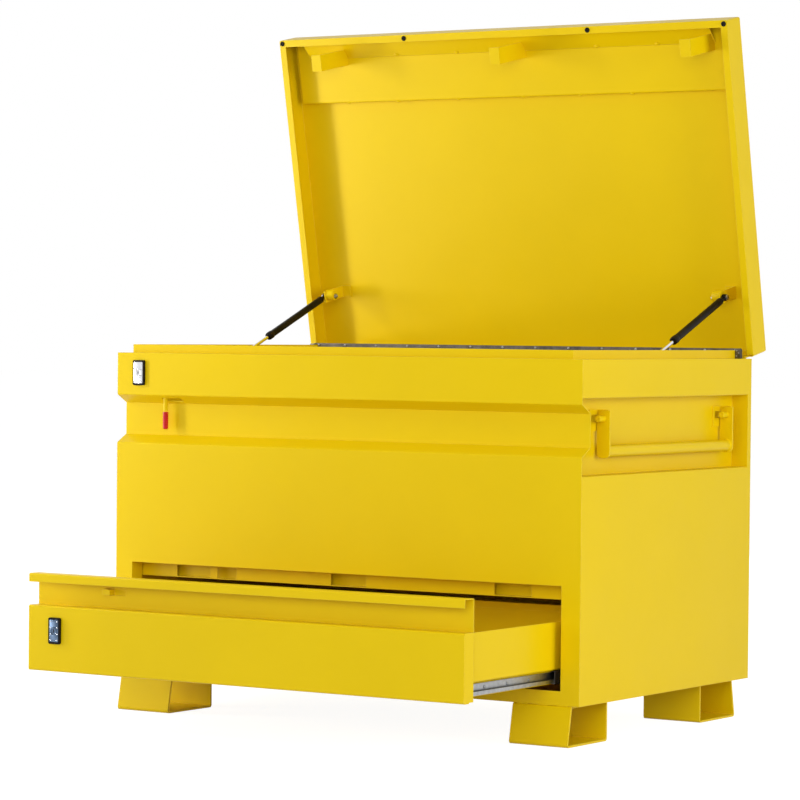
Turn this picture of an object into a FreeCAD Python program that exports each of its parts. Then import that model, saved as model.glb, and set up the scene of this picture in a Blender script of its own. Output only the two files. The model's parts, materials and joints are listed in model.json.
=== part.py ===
import FreeCAD, Part
import math
import os
import Sketcher

os.makedirs("parts", exist_ok=True)

# Millimetres. X runs to the right, Y to the rear and Z up. The origin lies on the floor at the centre
# of the four floor-bolt holes. The box stands open: lid raised, drawer drawn out, handles hanging.

SIZES = {
    # cabinet
    "box_width": 1219.2,
    "box_depth": 762,
    "body_height": 724,
    "sheet": 2,
    "bend": 2,
    "fit_gap": 0.3,
    # pressed channel across the front
    "band_height": 95,
    "slope_height": 19,
    "channel_flat": 71,
    "channel_depth": 33.5,
    # drawer opening
    "stile_width": 45.6,
    "sill_height": 30,
    "opening_height": 220,
    "floor_above_opening": 14,
    # weather lip around the top opening
    "lip_height": 19,
    "lip_side_inset": 32,
    "lip_front_inset": 16,
    "lip_strip_inset": 10,
    "lip_strip_height": 23,
    "lip_strip_side_inset": 22,
    "lip_strip_foot": 14,
    # side pockets
    "pocket_depth": 40,
    "pocket_top_drop": 82,
    "pocket_height": 162,
    "pocket_rear_step": 16,
    # feet
    "foot_height": 86,
    "foot_width": 142,
    "foot_depth": 152,
    "foot_splay": 16,
    "foot_side_inset": 19,
    "rear_foot_inset": 43,
    "foot_plate": 4.5,
    "foot_flange": 26,
    "bolt_hole_radius": 6.5,
    # lid
    "lid_open_angle": 78.7,
    "lid_clearance": 3.3,
    "lid_side_inset": 1.1,
    "lid_length": 765,
    "lid_height": 67,
    "lid_flange": 16.5,
    "lip_headroom": 3,
    "lid_corner": 5,
    "bumper_radius": 6,
    "bumper_spread": 250,
    "front_box_run": 54,
    "front_box_side_gap": 56,
    "stiffener_run": 162,
    "stiffener_rise": 20,
    "stiffener_side_gap": 20,
    # hinge along the rear
    "hinge_leaf": 2,
    "hinge_leaf_height": 34,
    "knuckle_radius": 5.4,
    "hinge_pin_radius": 3,
    "pin_running_gap": 0.08,
    "knuckle_pitch": 169,
    "hinge_drop": 3,
    "hinge_end_gap": 16,
    # strikers under the lid and the latch bar that holds them
    "striker_right_inset": 62.6,
    "striker_left_inset": 162.6,
    "striker_plate": 3,
    "striker_width": 39,
    "striker_front_gap": 29,
    "striker_drop": 72,
    "striker_tip": 23,
    "latch_hook_gap": 5,
    "latch_hook_lift": 1,
    "latch_hook_plate": 4,
    "guide_width": 24,
    "latch_travel": 40,
    "latch_bar_height": 30,
    "latch_bar_drop": 45,
    "latch_bar_end": 33,
    "latch_bar_thickness": 5,
    "latch_hook_reach": 30,
    "latch_hook_width": 26,
    "lever_side_inset": 122.6,
    "lever_radius": 5,
    "lever_drop": 172,
    "lever_inset": 19,
    "grip_radius": 6.5,
    "grip_length": 42,
    # lock cases
    "lock_width": 32,
    "lock_height": 57,
    "lock_corner": 4,
    "lock_case_depth": 5,
    "lock_plate_width": 24,
    "lock_plate_height": 48,
    "lock_plate_depth": 2,
    "lock_plug_radius": 8,
    "lock_cam_length": 24,
    "lid_lock_inset": 62.6,
    "lid_lock_drop": 45,
    "drawer_lock_inset": 74,
    "drawer_lock_height": 89,
    # drawer
    "drawer_out": 372,
    "drawer_side_gap": 5,
    "drawer_foot_gap": 4,
    "drawer_face_height": 142,
    "drawer_total_height": 211,
    "drawer_lip_height": 18.5,
    "drawer_recess": 34,
    "tray_length": 600,
    "tray_running_gap": 0.8,
    "tray_lift": 8,
    "slide_width": 12.7,
    "slide_height": 27,
    "slide_length": 550,
    "slide_steel": 1.4,
    "slide_gap": 0.5,
    "slide_side_gap": 15,
    "slide_margin": 2,
    "slide_rail_flange": 20,
    "drawer_return": 20,
    # drawer latch
    "keeper_drop": 46,
    "keeper_gap": 5,
    "keeper_depth": 17,
    "notch_height": 27,
    "notch_width": 92,
    "notch_inset": 143,
    "finger_notch_width": 52,
    "finger_inset": 197,
    "finger_drop": 33.5,
    "finger_width": 20,
    "finger_height": 12,
    "finger_reach": 16,
    "finger_notch_inset": 236,
    "drawer_bar_height": 38,
    "drawer_bar_thickness": 3,
    "drawer_bar_drop": 8,
    "drawer_bar_inset": 104,
    "hook_stem": 14,
    "hook_head": 38,
    "hook_height": 13,
    "hook_plate": 3,
    "drawer_latch_travel": 30,
    # side handles
    "arm_spacing": 556,
    "handle_shift": 22,
    "arm_width": 31,
    "arm_thickness": 4.5,
    "arm_above_pivot": 17,
    "arm_below_pivot": 84,
    "arm_clip": 13,
    "arm_corner": 11,
    "pivot_drop": 125.5,
    "pivot_out": 20.6,
    "pivot_radius": 5,
    "pivot_head_radius": 7,
    "pivot_head_length": 25,
    "grip_tube_radius": 12.7,
    "grip_above_arm_end": 15,
    "lug_plate": 3,
    "lug_above_pivot": 19,
    "lug_below_pivot": 27,
    "lug_edge": 9,
    "lug_window_ahead": 20,
    "lug_window_length": 24,
    "lug_window_height": 15,
    # gas struts
    "strut_side_inset": 61.6,
    "strut_reach": 143,
    "strut_standoff": 67,
    "stud_from_rear": 480,
    "stud_drop": 53,
    "strut_wall": 1.5,
    "strut_guide": 12,
    "strut_neck": 22,
    "strut_body_length": 262,
    "strut_body_radius": 9.5,
    "strut_rod_radius": 4,
    "strut_eye_radius": 8,
    "strut_eye_thickness": 9,
    "strut_pin_radius": 4,
    "strut_bolt_head_radius": 6.5,
    "strut_bolt_head": 4,
    "bracket_plate": 3,
    "bracket_half_width": 14,
    "bracket_foot": 26,
    "stud_bracket_rise": 17,
    "stud_boss_radius": 7,
    "stud_boss": 5,
}

SHEET_NAME = "Sizes"

doc = FreeCAD.newDocument("JobsiteBox")
size_sheet = doc.addObject("Spreadsheet::Sheet", SHEET_NAME)
for row, (size_name, size_number) in enumerate(SIZES.items(), start=1):
    size_sheet.set("A%d" % row, size_name)
    size_sheet.set("B%d" % row, str(size_number))
    size_sheet.setAlias("B%d" % row, size_name)
doc.recompute()


# ---------------------------------------------------------------- measures bound to the sheet

class Measure:
    """A length with its number and with its formula on the sheet."""

    def __init__(self, number, formula):
        self.number = float(number)
        self.formula = formula

    def __add__(self, other):
        return Measure(self.number + number_of(other), "(%s + %s)" % (self.formula, formula_of(other)))

    def __sub__(self, other):
        return Measure(self.number - number_of(other), "(%s - %s)" % (self.formula, formula_of(other)))

    def __rsub__(self, other):
        return Measure(number_of(other) - self.number, "(%s - %s)" % (formula_of(other), self.formula))

    def __mul__(self, other):
        return Measure(self.number * number_of(other), "(%s * %s)" % (self.formula, formula_of(other)))

    def __truediv__(self, other):
        return Measure(self.number / number_of(other), "(%s / %s)" % (self.formula, formula_of(other)))

    def __neg__(self):
        return Measure(-self.number, "(0 - %s)" % self.formula)

    __radd__ = __add__
    __rmul__ = __mul__


def number_of(value):
    return value.number if isinstance(value, Measure) else float(value)


def formula_of(value):
    return value.formula if isinstance(value, Measure) else "%.9g" % value


def size(name):
    """The named size, as it stands on the sheet."""
    return Measure(size_sheet.getPropertyByName(name), "%s.%s" % (SHEET_NAME, name))


def bind(item, target, value):
    """Drive one property or constraint of a document object from the sheet."""
    if isinstance(value, Measure):
        item.setExpression(target, value.formula)


def place(item, x=0, y=0, z=0):
    base = FreeCAD.Vector(number_of(x), number_of(y), number_of(z))
    item.Placement = FreeCAD.Placement(base, item.Placement.Rotation)
    for axis, value in (("x", x), ("y", y), ("z", z)):
        bind(item, "Placement.Base.%s" % axis, value)


# ---------------------------------------------------------------- building blocks

AXIS_TURN = {
    "x": FreeCAD.Rotation(FreeCAD.Vector(0, 1, 0), 90),
    "y": FreeCAD.Rotation(FreeCAD.Vector(1, 0, 0), -90),
    "z": FreeCAD.Rotation(),
}
# Each origin plane: where the sketch's own x, y and normal point in the part.
PLANE_NORMAL = {"XY_Plane": (0, 0, 1), "XZ_Plane": (0, -1, 0), "YZ_Plane": (1, 0, 0)}

subparts = []


def subpart(label, item):
    """Name a finished piece; its label is the name of its file."""
    item.Label = label
    subparts.append(item)
    return item


def block(x, y, z):
    """A box from its low and high place along each axis."""
    box = doc.addObject("Part::Box", "Block")
    for side, (low, high) in (("Length", x), ("Width", y), ("Height", z)):
        setattr(box, side, number_of(high - low))
        bind(box, side, high - low)
    place(box, x[0], y[0], z[0])
    return box


def rod(axis, start, length, radius):
    """A cylinder that runs from start along one axis."""
    cylinder = doc.addObject("Part::Cylinder", "Rod")
    cylinder.Radius = number_of(radius)
    cylinder.Height = number_of(length)
    bind(cylinder, "Radius", radius)
    bind(cylinder, "Height", length)
    cylinder.Placement = FreeCAD.Placement(FreeCAD.Vector(), AXIS_TURN[axis])
    place(cylinder, *start)
    return cylinder


def join(pieces):
    """One welded piece."""
    fusion = doc.addObject("Part::MultiFuse", "Weldment")
    fusion.Shapes = pieces
    return fusion


def group(pieces):
    """Several separate solids that share one file."""
    compound = doc.addObject("Part::Compound", "Group")
    compound.Links = pieces
    return compound


def cut(base, tool):
    difference = doc.addObject("Part::Cut", "Cut")
    difference.Base = base
    difference.Tool = tool
    return difference


def mirrored(item):
    """The same piece on the other side of the box."""
    mirror = doc.addObject("Part::Mirroring", "Mirror")
    mirror.Source = item
    mirror.Base = FreeCAD.Vector(0, 0, 0)
    mirror.Normal = FreeCAD.Vector(1, 0, 0)
    return mirror


def new_sketch(body, plane, offset=0):
    """A sketch on one of the body's own origin planes, moved along the plane's normal."""
    origin_plane = [item for item in body.Origin.OriginFeatures if item.Role == plane][0]
    sketch = body.newObject("Sketcher::SketchObject", "Sketch")
    sketch.AttachmentSupport = [(origin_plane, "")]
    sketch.MapMode = "FlatFace"
    shift = -offset if plane == "XZ_Plane" and isinstance(offset, Measure) else offset
    sketch.AttachmentOffset = FreeCAD.Placement(FreeCAD.Vector(0, 0, number_of(shift)), FreeCAD.Rotation())
    bind(sketch, "AttachmentOffset.Base.z", shift)
    return sketch


def draw_outline(sketch, points):
    """A closed run of straight lines whose corners are bound to the sheet."""
    first = sketch.GeometryCount
    corners = [FreeCAD.Vector(number_of(x), number_of(y), 0) for x, y in points]
    count = len(corners)
    for index in range(count):
        line = Part.LineSegment(corners[index], corners[(index + 1) % count])
        sketch.addGeometry(line, False)
    for index, (x, y) in enumerate(points):
        line = first + index
        before = first + (index - 1) % count
        sketch.addConstraint(Sketcher.Constraint("Coincident", before, 2, line, 1))
        for kind, value in (("DistanceX", x), ("DistanceY", y)):
            constraint = Sketcher.Constraint(kind, -1, 1, line, 1, number_of(value))
            bind(sketch, "Constraints[%d]" % sketch.addConstraint(constraint), value)


def draw_circle(sketch, x, y, radius):
    centre = FreeCAD.Vector(number_of(x), number_of(y), 0)
    circle = sketch.addGeometry(Part.Circle(centre, FreeCAD.Vector(0, 0, 1), number_of(radius)), False)
    for kind, value in (("DistanceX", x), ("DistanceY", y)):
        constraint = Sketcher.Constraint(kind, -1, 1, circle, 3, number_of(value))
        bind(sketch, "Constraints[%d]" % sketch.addConstraint(constraint), value)
    constraint = Sketcher.Constraint("Radius", circle, number_of(radius))
    bind(sketch, "Constraints[%d]" % sketch.addConstraint(constraint), radius)


def rectangle(x, y):
    return [(x[0], y[0]), (x[1], y[0]), (x[1], y[1]), (x[0], y[1])]


def arc_points(x, y, radius, first, last, steps):
    """Points along an arc in straight steps, from one angle in degrees to another."""
    points = []
    for step in range(steps + 1):
        angle = math.radians(first + (last - first) * step / steps)
        points.append((x + radius * math.cos(angle), y + radius * math.sin(angle)))
    return points


def prism_outline(x, y, radius, sides):
    """A regular outline with its corners on a circle."""
    return arc_points(x, y, radius, 0, 360, sides)[:-1]


def pad(body, plane, outlines, depth, centre=0, holes=()):
    """Add material to both sides of a plane."""
    sketch = new_sketch(body, plane, centre)
    for points in outlines:
        draw_outline(sketch, points)
    for x, y, radius in holes:
        draw_circle(sketch, x, y, radius)
    feature = body.newObject("PartDesign::Pad", "Pad")
    feature.Profile = sketch
    feature.SideType = "Symmetric"
    feature.Length = number_of(depth)
    bind(feature, "Length", depth)
    return feature


def pocket(body, plane, outlines, depth, centre=0, holes=()):
    """Remove material to both sides of a plane."""
    doc.recompute()
    sketch = new_sketch(body, plane, centre)
    for points in outlines:
        draw_outline(sketch, points)
    for x, y, radius in holes:
        draw_circle(sketch, x, y, radius)
    feature = body.newObject("PartDesign::Pocket", "Pocket")
    feature.Profile = sketch
    feature.SideType = "Symmetric"
    feature.Length = number_of(depth)
    bind(feature, "Length", depth)
    return feature


def new_body(plane, outlines, depth, centre=0, holes=()):
    body = doc.addObject("PartDesign::Body", "Body")
    pad(body, plane, outlines, depth, centre, holes)
    return body


def unit(start, end):
    dx = number_of(end[0]) - number_of(start[0])
    dy = number_of(end[1]) - number_of(start[1])
    run = math.hypot(dx, dy)
    return dx / run, dy / run


def folded_outline(path, thickness):
    """The section of a folded sheet: its outer face and, to the left of it, its inner face."""
    inner = []
    for index, (x, y) in enumerate(path):
        steps = []
        if index > 0:
            steps.append(unit(path[index - 1], path[index]))
        if index < len(path) - 1:
            steps.append(unit(path[index], path[index + 1]))
        normals = [(-dy, dx) for dx, dy in steps]
        across = sum(n[0] for n in normals), sum(n[1] for n in normals)
        scale = 1
        if len(normals) == 2:
            scale += normals[0][0] * normals[1][0] + normals[0][1] * normals[1][1]
        inner.append((x + thickness * (across[0] / scale), y + thickness * (across[1] / scale)))
    return path + inner[::-1]


def round_bends(body, plane, path, thickness, radius):
    """Round the outer side of every fold of a folded sheet."""
    normal = FreeCAD.Vector(*PLANE_NORMAL[plane])
    outline = folded_outline(path, thickness)
    count = len(path)
    corners = []
    for index in range(1, count - 1):
        before = unit(path[index - 1], path[index])
        after = unit(path[index], path[index + 1])
        turns_left = before[0] * after[1] - before[1] * after[0] > 0
        corners.append(outline[index] if turns_left else outline[2 * count - 1 - index])
    doc.recompute()
    names = []
    for number, edge in enumerate(body.Tip.Shape.Edges, start=1):
        if len(edge.Vertexes) != 2 or abs(edge.tangentAt(edge.FirstParameter).dot(normal)) < 0.999:
            continue
        point = edge.Vertexes[0].Point
        spot = {
            "XY_Plane": (point.x, point.y),
            "XZ_Plane": (point.x, point.z),
            "YZ_Plane": (point.y, point.z),
        }[plane]
        misses = [math.hypot(spot[0] - number_of(x), spot[1] - number_of(y)) for x, y in corners]
        if min(misses) < 0.01:
            names.append("Edge%d" % number)
    base = body.Tip
    fillet = body.newObject("PartDesign::Fillet", "Bends")
    fillet.Base = (base, names)
    fillet.Radius = number_of(radius + thickness)
    bind(fillet, "Radius", radius + thickness)


def round_corners(body, radius, axis, above=None):
    """Round the straight edges that run along an axis and, if a height is given, those above it."""
    doc.recompute()
    direction = AXIS_TURN[axis].multVec(FreeCAD.Vector(0, 0, 1))
    names = []
    for number, edge in enumerate(body.Tip.Shape.Edges, start=1):
        along = len(edge.Vertexes) == 2 and abs(edge.tangentAt(edge.FirstParameter).dot(direction)) > 0.999
        straight = along and edge.Curve.TypeId == "Part::GeomLine"
        if straight or (above is not None and edge.BoundBox.ZMin > above):
            names.append("Edge%d" % number)
    base = body.Tip
    fillet = body.newObject("PartDesign::Fillet", "Corners")
    fillet.Base = (base, names)
    fillet.Radius = number_of(radius)
    bind(fillet, "Radius", radius)


def folded_body(plane, path, thickness, depth, centre=0):
    """A sheet folded along a path, its thickness on the left of the path."""
    body = new_body(plane, [folded_outline(path, thickness)], depth, centre)
    round_bends(body, plane, path, thickness, bend)
    return body


# ---------------------------------------------------------------- places worked out from the sizes

sheet = size("sheet")
bend = size("bend")
gap = size("fit_gap")
side_x = size("box_width") / 2
front_y = (size("rear_foot_inset") - size("box_depth")) / 2
rear_y = front_y + size("box_depth")
middle_y = (front_y + rear_y) / 2
base_z = size("foot_height")
top_z = base_z + size("body_height")

channel_top_z = top_z - size("band_height") - size("slope_height")
channel_bottom_z = channel_top_z - size("channel_flat")
channel_y = front_y + size("channel_depth")
lower_face_z = channel_bottom_z - size("slope_height")

opening_x = side_x - size("stile_width")
opening_z = base_z + size("sill_height")
opening_top_z = opening_z + size("opening_height")
floor_z = opening_top_z + size("floor_above_opening")

pocket_top_z = top_z - size("pocket_top_drop")
pocket_z = pocket_top_z - size("pocket_height")
pocket_x = side_x - size("pocket_depth")
pocket_rear_y = rear_y - size("pocket_rear_step")

lip_x = side_x - size("lip_side_inset")
lip_front_y = front_y + size("lip_front_inset")
lip_strip_y = rear_y - size("lip_strip_inset")

front_path = [
    (front_y, top_z),
    (front_y, top_z - size("band_height")),
    (channel_y, channel_top_z),
    (channel_y, channel_bottom_z),
    (front_y, lower_face_z),
    (front_y, base_z),
]


# ---------------------------------------------------------------- cabinet shell

lock_x = size("lid_lock_inset") - side_x
lid_lock_z = top_z - size("lid_lock_drop")
lever_x = size("lever_side_inset") - side_x
lever_y = front_y + size("lever_inset")


def make_front_panel():
    body = folded_body("YZ_Plane", front_path, sheet, size("box_width"))
    opening = rectangle((-opening_x, opening_x), (opening_z, opening_top_z))
    pocket(body, "XZ_Plane", [opening], sheet * 4, front_y)
    jamb_y = (front_y + sheet / 2, front_y + size("drawer_recess") + sheet * 2 - gap)
    jambs = [rectangle((opening_x, opening_x + sheet), jamb_y),
             rectangle((-opening_x - sheet, -opening_x), jamb_y)]
    pad(body, "XY_Plane", jambs, size("opening_height"), opening_z + size("opening_height") / 2)
    slot_side = size("lever_radius") + gap * 5
    slot = rectangle((lever_x - slot_side, lever_x + size("latch_travel") + slot_side),
                     (lever_y - slot_side, lever_y + slot_side))
    pocket(body, "XY_Plane", [slot], size("slope_height") * 2, channel_top_z + size("slope_height") / 2)
    pocket(body, "XZ_Plane", [], sheet * 4, front_y,
           holes=[(lock_x, lid_lock_z, size("lock_plug_radius") + gap)])
    subpart("front_panel", body)


def make_rear_panel():
    outline = rectangle((-side_x, side_x), (base_z, top_z))
    body = new_body("XZ_Plane", [outline], sheet, rear_y - sheet / 2)
    subpart("rear_panel", body)


arm_front_y = [middle_y + size("handle_shift") + (size("arm_spacing") * side - size("arm_thickness")) / 2
               for side in (-1, 1)]
pivot_z = top_z - size("pivot_drop")


def lug_window(arm_y):
    """The hole ahead of a handle arm, through the lug's foot and the pocket wall, seen from the side."""
    low = arm_y - size("lug_window_ahead")
    half = size("lug_window_height") / 2
    return rectangle((low, low + size("lug_window_length")), (pivot_z - half, pivot_z + half))


def make_side_panels():
    path = [
        (side_x, base_z),
        (side_x, pocket_z),
        (pocket_x, pocket_z),
        (pocket_x, pocket_top_z),
        (side_x, pocket_top_z),
        (side_x, top_z),
    ]
    run = pocket_rear_y - front_y
    body = folded_body("XZ_Plane", path, sheet, run, front_y + run / 2)
    strip = rear_y - sheet - pocket_rear_y
    rear_strip = rectangle((side_x - sheet, side_x), (base_z, top_z))
    pad(body, "XZ_Plane", [rear_strip], strip, pocket_rear_y + strip / 2)
    step = rectangle((pocket_x - sheet, side_x), (pocket_z - sheet, pocket_top_z + sheet))
    pad(body, "XZ_Plane", [step], sheet, pocket_rear_y + sheet / 2)
    ahead = front_y - sheet * 10
    inner_face = folded_outline(front_path, sheet)[len(front_path):]
    trim = inner_face + [(ahead, top_z), (ahead, base_z)]
    pocket(body, "YZ_Plane", [trim], size("box_width") * 2)
    pocket(body, "YZ_Plane", [lug_window(y) for y in arm_front_y], sheet * 6, pocket_x)
    subpart("right_side_panel", body)
    subpart("left_side_panel", mirrored(body))


def make_floors():
    inner_x = side_x - sheet
    outline = rectangle((-inner_x, inner_x), (front_y + sheet, rear_y - sheet))
    subpart("base_panel", new_body("XY_Plane", [outline], sheet, base_z + sheet / 2))
    subpart("compartment_floor", new_body("XY_Plane", [outline], sheet, floor_z + sheet / 2))


def make_top_frame():
    inner_x = side_x - sheet
    edge_y = rear_y - size("lip_strip_inset") - size("lip_strip_foot") * 2
    ring_z = top_z - sheet / 2
    outer = rectangle((-inner_x, inner_x), (front_y + sheet, rear_y - sheet))
    mouth = rectangle((sheet - lip_x, lip_x - sheet), (lip_front_y + sheet, edge_y))
    body = new_body("XY_Plane", [outer, mouth], sheet, ring_z)
    lip = [
        (-lip_x, lip_strip_y),
        (-lip_x, lip_front_y),
        (lip_x, lip_front_y),
        (lip_x, lip_strip_y),
    ]
    rise = size("lip_height") + sheet
    pad(body, "XY_Plane", [folded_outline(lip, sheet)], rise, top_z - sheet + rise / 2)
    subpart("top_frame", body)


def make_lip_strip():
    half = side_x - size("lip_strip_side_inset")
    rise = size("lip_strip_height")
    upstand = rectangle((-half, half), (top_z, top_z + rise))
    strip = new_body("XZ_Plane", [upstand], sheet, lip_strip_y + sheet / 2)
    foot_x = lip_x - sheet - gap
    foot = rectangle((-foot_x, foot_x), (lip_strip_y - size("lip_strip_foot"), lip_strip_y + sheet))
    pad(strip, "XY_Plane", [foot], sheet, top_z + sheet / 2)
    subpart("rear_lip_strip", strip)


# ---------------------------------------------------------------- feet

def make_feet():
    plate = size("foot_plate")
    high = base_z - plate
    near_y = front_y
    far_y = near_y + size("foot_depth")
    path = [
        (near_y + size("foot_flange"), base_z),
        (near_y, base_z),
        (near_y - size("foot_splay"), 0),
        (far_y, 0),
        (far_y, base_z),
        (far_y - size("foot_flange"), base_z),
    ]
    middle_x = side_x - size("foot_side_inset") - size("foot_width") / 2
    bolt_y = near_y + size("foot_depth") / 2
    front = folded_body("YZ_Plane", path, plate, size("foot_width"), middle_x)
    pocket(front, "XY_Plane", [], high, 0, holes=[(middle_x, bolt_y, size("bolt_hole_radius"))])
    rear = doc.addObject("Part::Mirroring", "Mirror")
    rear.Source = front
    rear.Base = FreeCAD.Vector(0, 0, 0)
    rear.Normal = FreeCAD.Vector(0, 1, 0)
    subpart("front_right_foot", front)
    subpart("front_left_foot", mirrored(front))
    subpart("rear_right_foot", rear)
    subpart("rear_left_foot", mirrored(rear))


# ---------------------------------------------------------------- rear hinge

hinge_y = rear_y + gap * 2 + size("knuckle_radius")
hinge_z = top_z - size("hinge_drop")
hinge_half = side_x - size("hinge_end_gap")


def make_hinge():
    pitch = size("knuckle_pitch")
    count = int(number_of(hinge_half * 2) / number_of(pitch))
    start = -pitch * count / 2
    reach = size("knuckle_radius")
    clear = reach + gap * 3
    leaf = {"fixed": [], "moving": []}
    leaf_y = (rear_y, rear_y + size("hinge_leaf"))
    leaf["fixed"].append(block((start, start + pitch * count), leaf_y,
                               (hinge_z - size("hinge_leaf_height"), hinge_z - clear)))
    leaf["moving"].append(block((start, start + pitch * count), leaf_y,
                                (hinge_z + clear, hinge_z + size("hinge_leaf_height"))))
    for index in range(count):
        low = start + pitch * index + gap
        high = start + pitch * (index + 1) - gap
        fixed = index % 2 == 0
        side = "fixed" if fixed else "moving"
        leaf[side].append(rod("x", (low, hinge_y, hinge_z), high - low, reach))
        tab_z = (hinge_z - clear, hinge_z) if fixed else (hinge_z, hinge_z + clear)
        leaf[side].append(block((low, high), leaf_y, tab_z))
    bore = rod("x", (start - gap, hinge_y, hinge_z), pitch * count + gap * 2,
               size("hinge_pin_radius") + size("pin_running_gap"))
    subpart("hinge_fixed_leaf", cut(join(leaf["fixed"]), bore))
    subpart("hinge_pin", rod("x", (start, hinge_y, hinge_z), pitch * count, size("hinge_pin_radius")))
    open_with_lid(subpart("hinge_moving_leaf", cut(join(leaf["moving"]), bore)))


# ---------------------------------------------------------------- lid, drawn closed and then swung open

lid_parts = []


def open_with_lid(item):
    """Swing a piece, drawn with the lid closed, about the hinge pin to the open position."""
    lid_parts.append(item)
    return item


def swing_lid_open():
    """Turn every lid piece about the hinge axis; the turn and its offset follow the sheet."""
    angle = size("lid_open_angle")
    turn = math.radians(number_of(angle))
    y, z = number_of(hinge_y), number_of(hinge_z)
    shift_y = y - (y * math.cos(turn) + z * math.sin(turn))
    shift_z = z - (-y * math.sin(turn) + z * math.cos(turn))
    cos_text = "cos(%s * 1 deg)" % angle.formula
    sin_text = "sin(%s * 1 deg)" % angle.formula
    y_text, z_text = hinge_y.formula, hinge_z.formula
    texts = {
        "y": "%s - (%s * %s + %s * %s)" % (y_text, y_text, cos_text, z_text, sin_text),
        "z": "%s - (%s * %s - %s * %s)" % (z_text, z_text, cos_text, y_text, sin_text),
    }
    for item in lid_parts:
        rotation = FreeCAD.Rotation(FreeCAD.Vector(-1, 0, 0), number_of(angle))
        item.Placement = FreeCAD.Placement(FreeCAD.Vector(0, shift_y, shift_z), rotation)
        item.setExpression("Placement.Rotation.Angle", angle.formula)
        for axis, text in texts.items():
            item.setExpression("Placement.Base.%s" % axis, text)


lid_x = side_x - size("lid_side_inset")
rim_z = top_z + size("lid_clearance")
lid_top_z = rim_z + size("lid_height")
lid_rear_y = rear_y
lid_front_y = lid_rear_y - size("lid_length")
lid_inside_z = lid_top_z - sheet
stiffener_z = lid_inside_z - size("stiffener_rise")


def make_lid_shell():
    outline = rectangle((-lid_x, lid_x), (lid_front_y, lid_rear_y))
    body = new_body("XY_Plane", [outline], size("lid_height"), rim_z + size("lid_height") / 2)
    round_corners(body, size("lid_corner"), "z", above=number_of(lid_inside_z))
    inner_x = lid_x - sheet
    hollow = size("lid_height") - sheet
    cavity = rectangle((-inner_x, inner_x), (lid_front_y + sheet, lid_rear_y - sheet))
    pocket(body, "XY_Plane", [cavity], hollow, rim_z + hollow / 2)
    flange_x = lid_x - size("lid_flange")
    flange = [
        (-lid_x + size("lid_corner"), lid_front_y),
        (lid_x - size("lid_corner"), lid_front_y),
        (lid_x, lid_front_y + size("lid_corner")),
        (lid_x, lid_rear_y - size("lid_corner")),
        (flange_x, lid_rear_y - size("lid_corner")),
        (flange_x, lid_front_y + size("lid_flange")),
        (-flange_x, lid_front_y + size("lid_flange")),
        (-flange_x, lid_rear_y - size("lid_corner")),
        (-lid_x, lid_rear_y - size("lid_corner")),
        (-lid_x, lid_front_y + size("lid_corner")),
    ]
    pad(body, "XY_Plane", [flange], sheet, rim_z + sheet / 2)
    open_with_lid(subpart("lid_shell", body))


box_y = lid_front_y + size("front_box_run")
stiffener_y = lid_front_y + size("stiffener_run")
stiffener_x = lid_x - size("stiffener_side_gap")
box_x = lid_x - size("front_box_side_gap")
box_foot = (lid_front_y + size("lid_flange"), top_z + size("lip_height") + size("lip_headroom"))


def make_lid_stiffeners():
    path = [
        (lid_front_y + sheet + gap, stiffener_z),
        (stiffener_y, stiffener_z),
        (stiffener_y, lid_inside_z),
    ]
    open_with_lid(subpart("lid_stiffener", folded_body("YZ_Plane", path, sheet, stiffener_x * 2)))
    beyond = 1.5
    path = [
        (lid_front_y + size("lid_flange") - sheet * 3, rim_z + sheet),
        (box_foot[0], rim_z + sheet),
        box_foot,
        (box_foot[0] + (box_y - box_foot[0]) * beyond, box_foot[1] + (stiffener_z - box_foot[1]) * beyond),
    ]
    web = folded_body("YZ_Plane", path, sheet, box_x * 2)
    over = rectangle((lid_front_y, stiffener_y), (stiffener_z, lid_top_z))
    pocket(web, "YZ_Plane", [over], lid_x * 2)
    open_with_lid(subpart("lid_front_box", web))


striker_front = front_y + size("striker_front_gap")
striker_y = (striker_front, striker_front + size("striker_width"))
striker_tip_z = rim_z - size("striker_drop")
striker_left_x = size("striker_left_inset") - side_x
striker_right_x = side_x - size("striker_right_inset")
striker_x = [striker_left_x, (striker_left_x + striker_right_x) / 2, striker_right_x]


def make_strikers():
    plate = size("striker_plate")
    share = (striker_y[0] - box_foot[0]) / (box_y - box_foot[0])
    root_z = box_foot[1] + (stiffener_z - box_foot[1]) * share
    outline = [
        (striker_y[0], root_z),
        (box_y, stiffener_z),
        (striker_y[1], stiffener_z),
        (striker_y[1], striker_tip_z),
        (striker_y[0], striker_tip_z),
    ]
    strikers = []
    for x in striker_x:
        body = new_body("YZ_Plane", [outline], plate, x + plate / 2)
        tip = rectangle((x - size("striker_tip"), x + plate), striker_y)
        pad(body, "XY_Plane", [tip], plate, striker_tip_z + plate / 2)
        strikers.append(body)
    open_with_lid(subpart("lid_strikers", group(strikers)))


def make_bumpers():
    bumpers = []
    y = lid_front_y + size("lid_flange") / 2
    corner_x = lid_x - size("lid_flange") / 2
    for x in (-corner_x, -size("bumper_spread"), size("bumper_spread"), corner_x):
        outline = prism_outline(x, y, size("bumper_radius"), 16)
        bumpers.append(new_body("XY_Plane", [outline], rim_z - top_z - gap, (rim_z + top_z + gap) / 2))
    open_with_lid(subpart("lid_bumpers", group(bumpers)))


# ---------------------------------------------------------------- latch bar, lever and guides

# Each guide's distance from the middle, as a share of the box's half width.
GUIDE_SHARES = (-0.66, -0.22, 0.22, 0.66)

bar_y = (lever_y + size("lever_radius"), lever_y + size("lever_radius") + size("latch_bar_thickness"))
bar_z = (top_z - size("latch_bar_drop") - size("latch_bar_height"), top_z - size("latch_bar_drop"))
lever_z = top_z - size("lever_drop")


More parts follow.
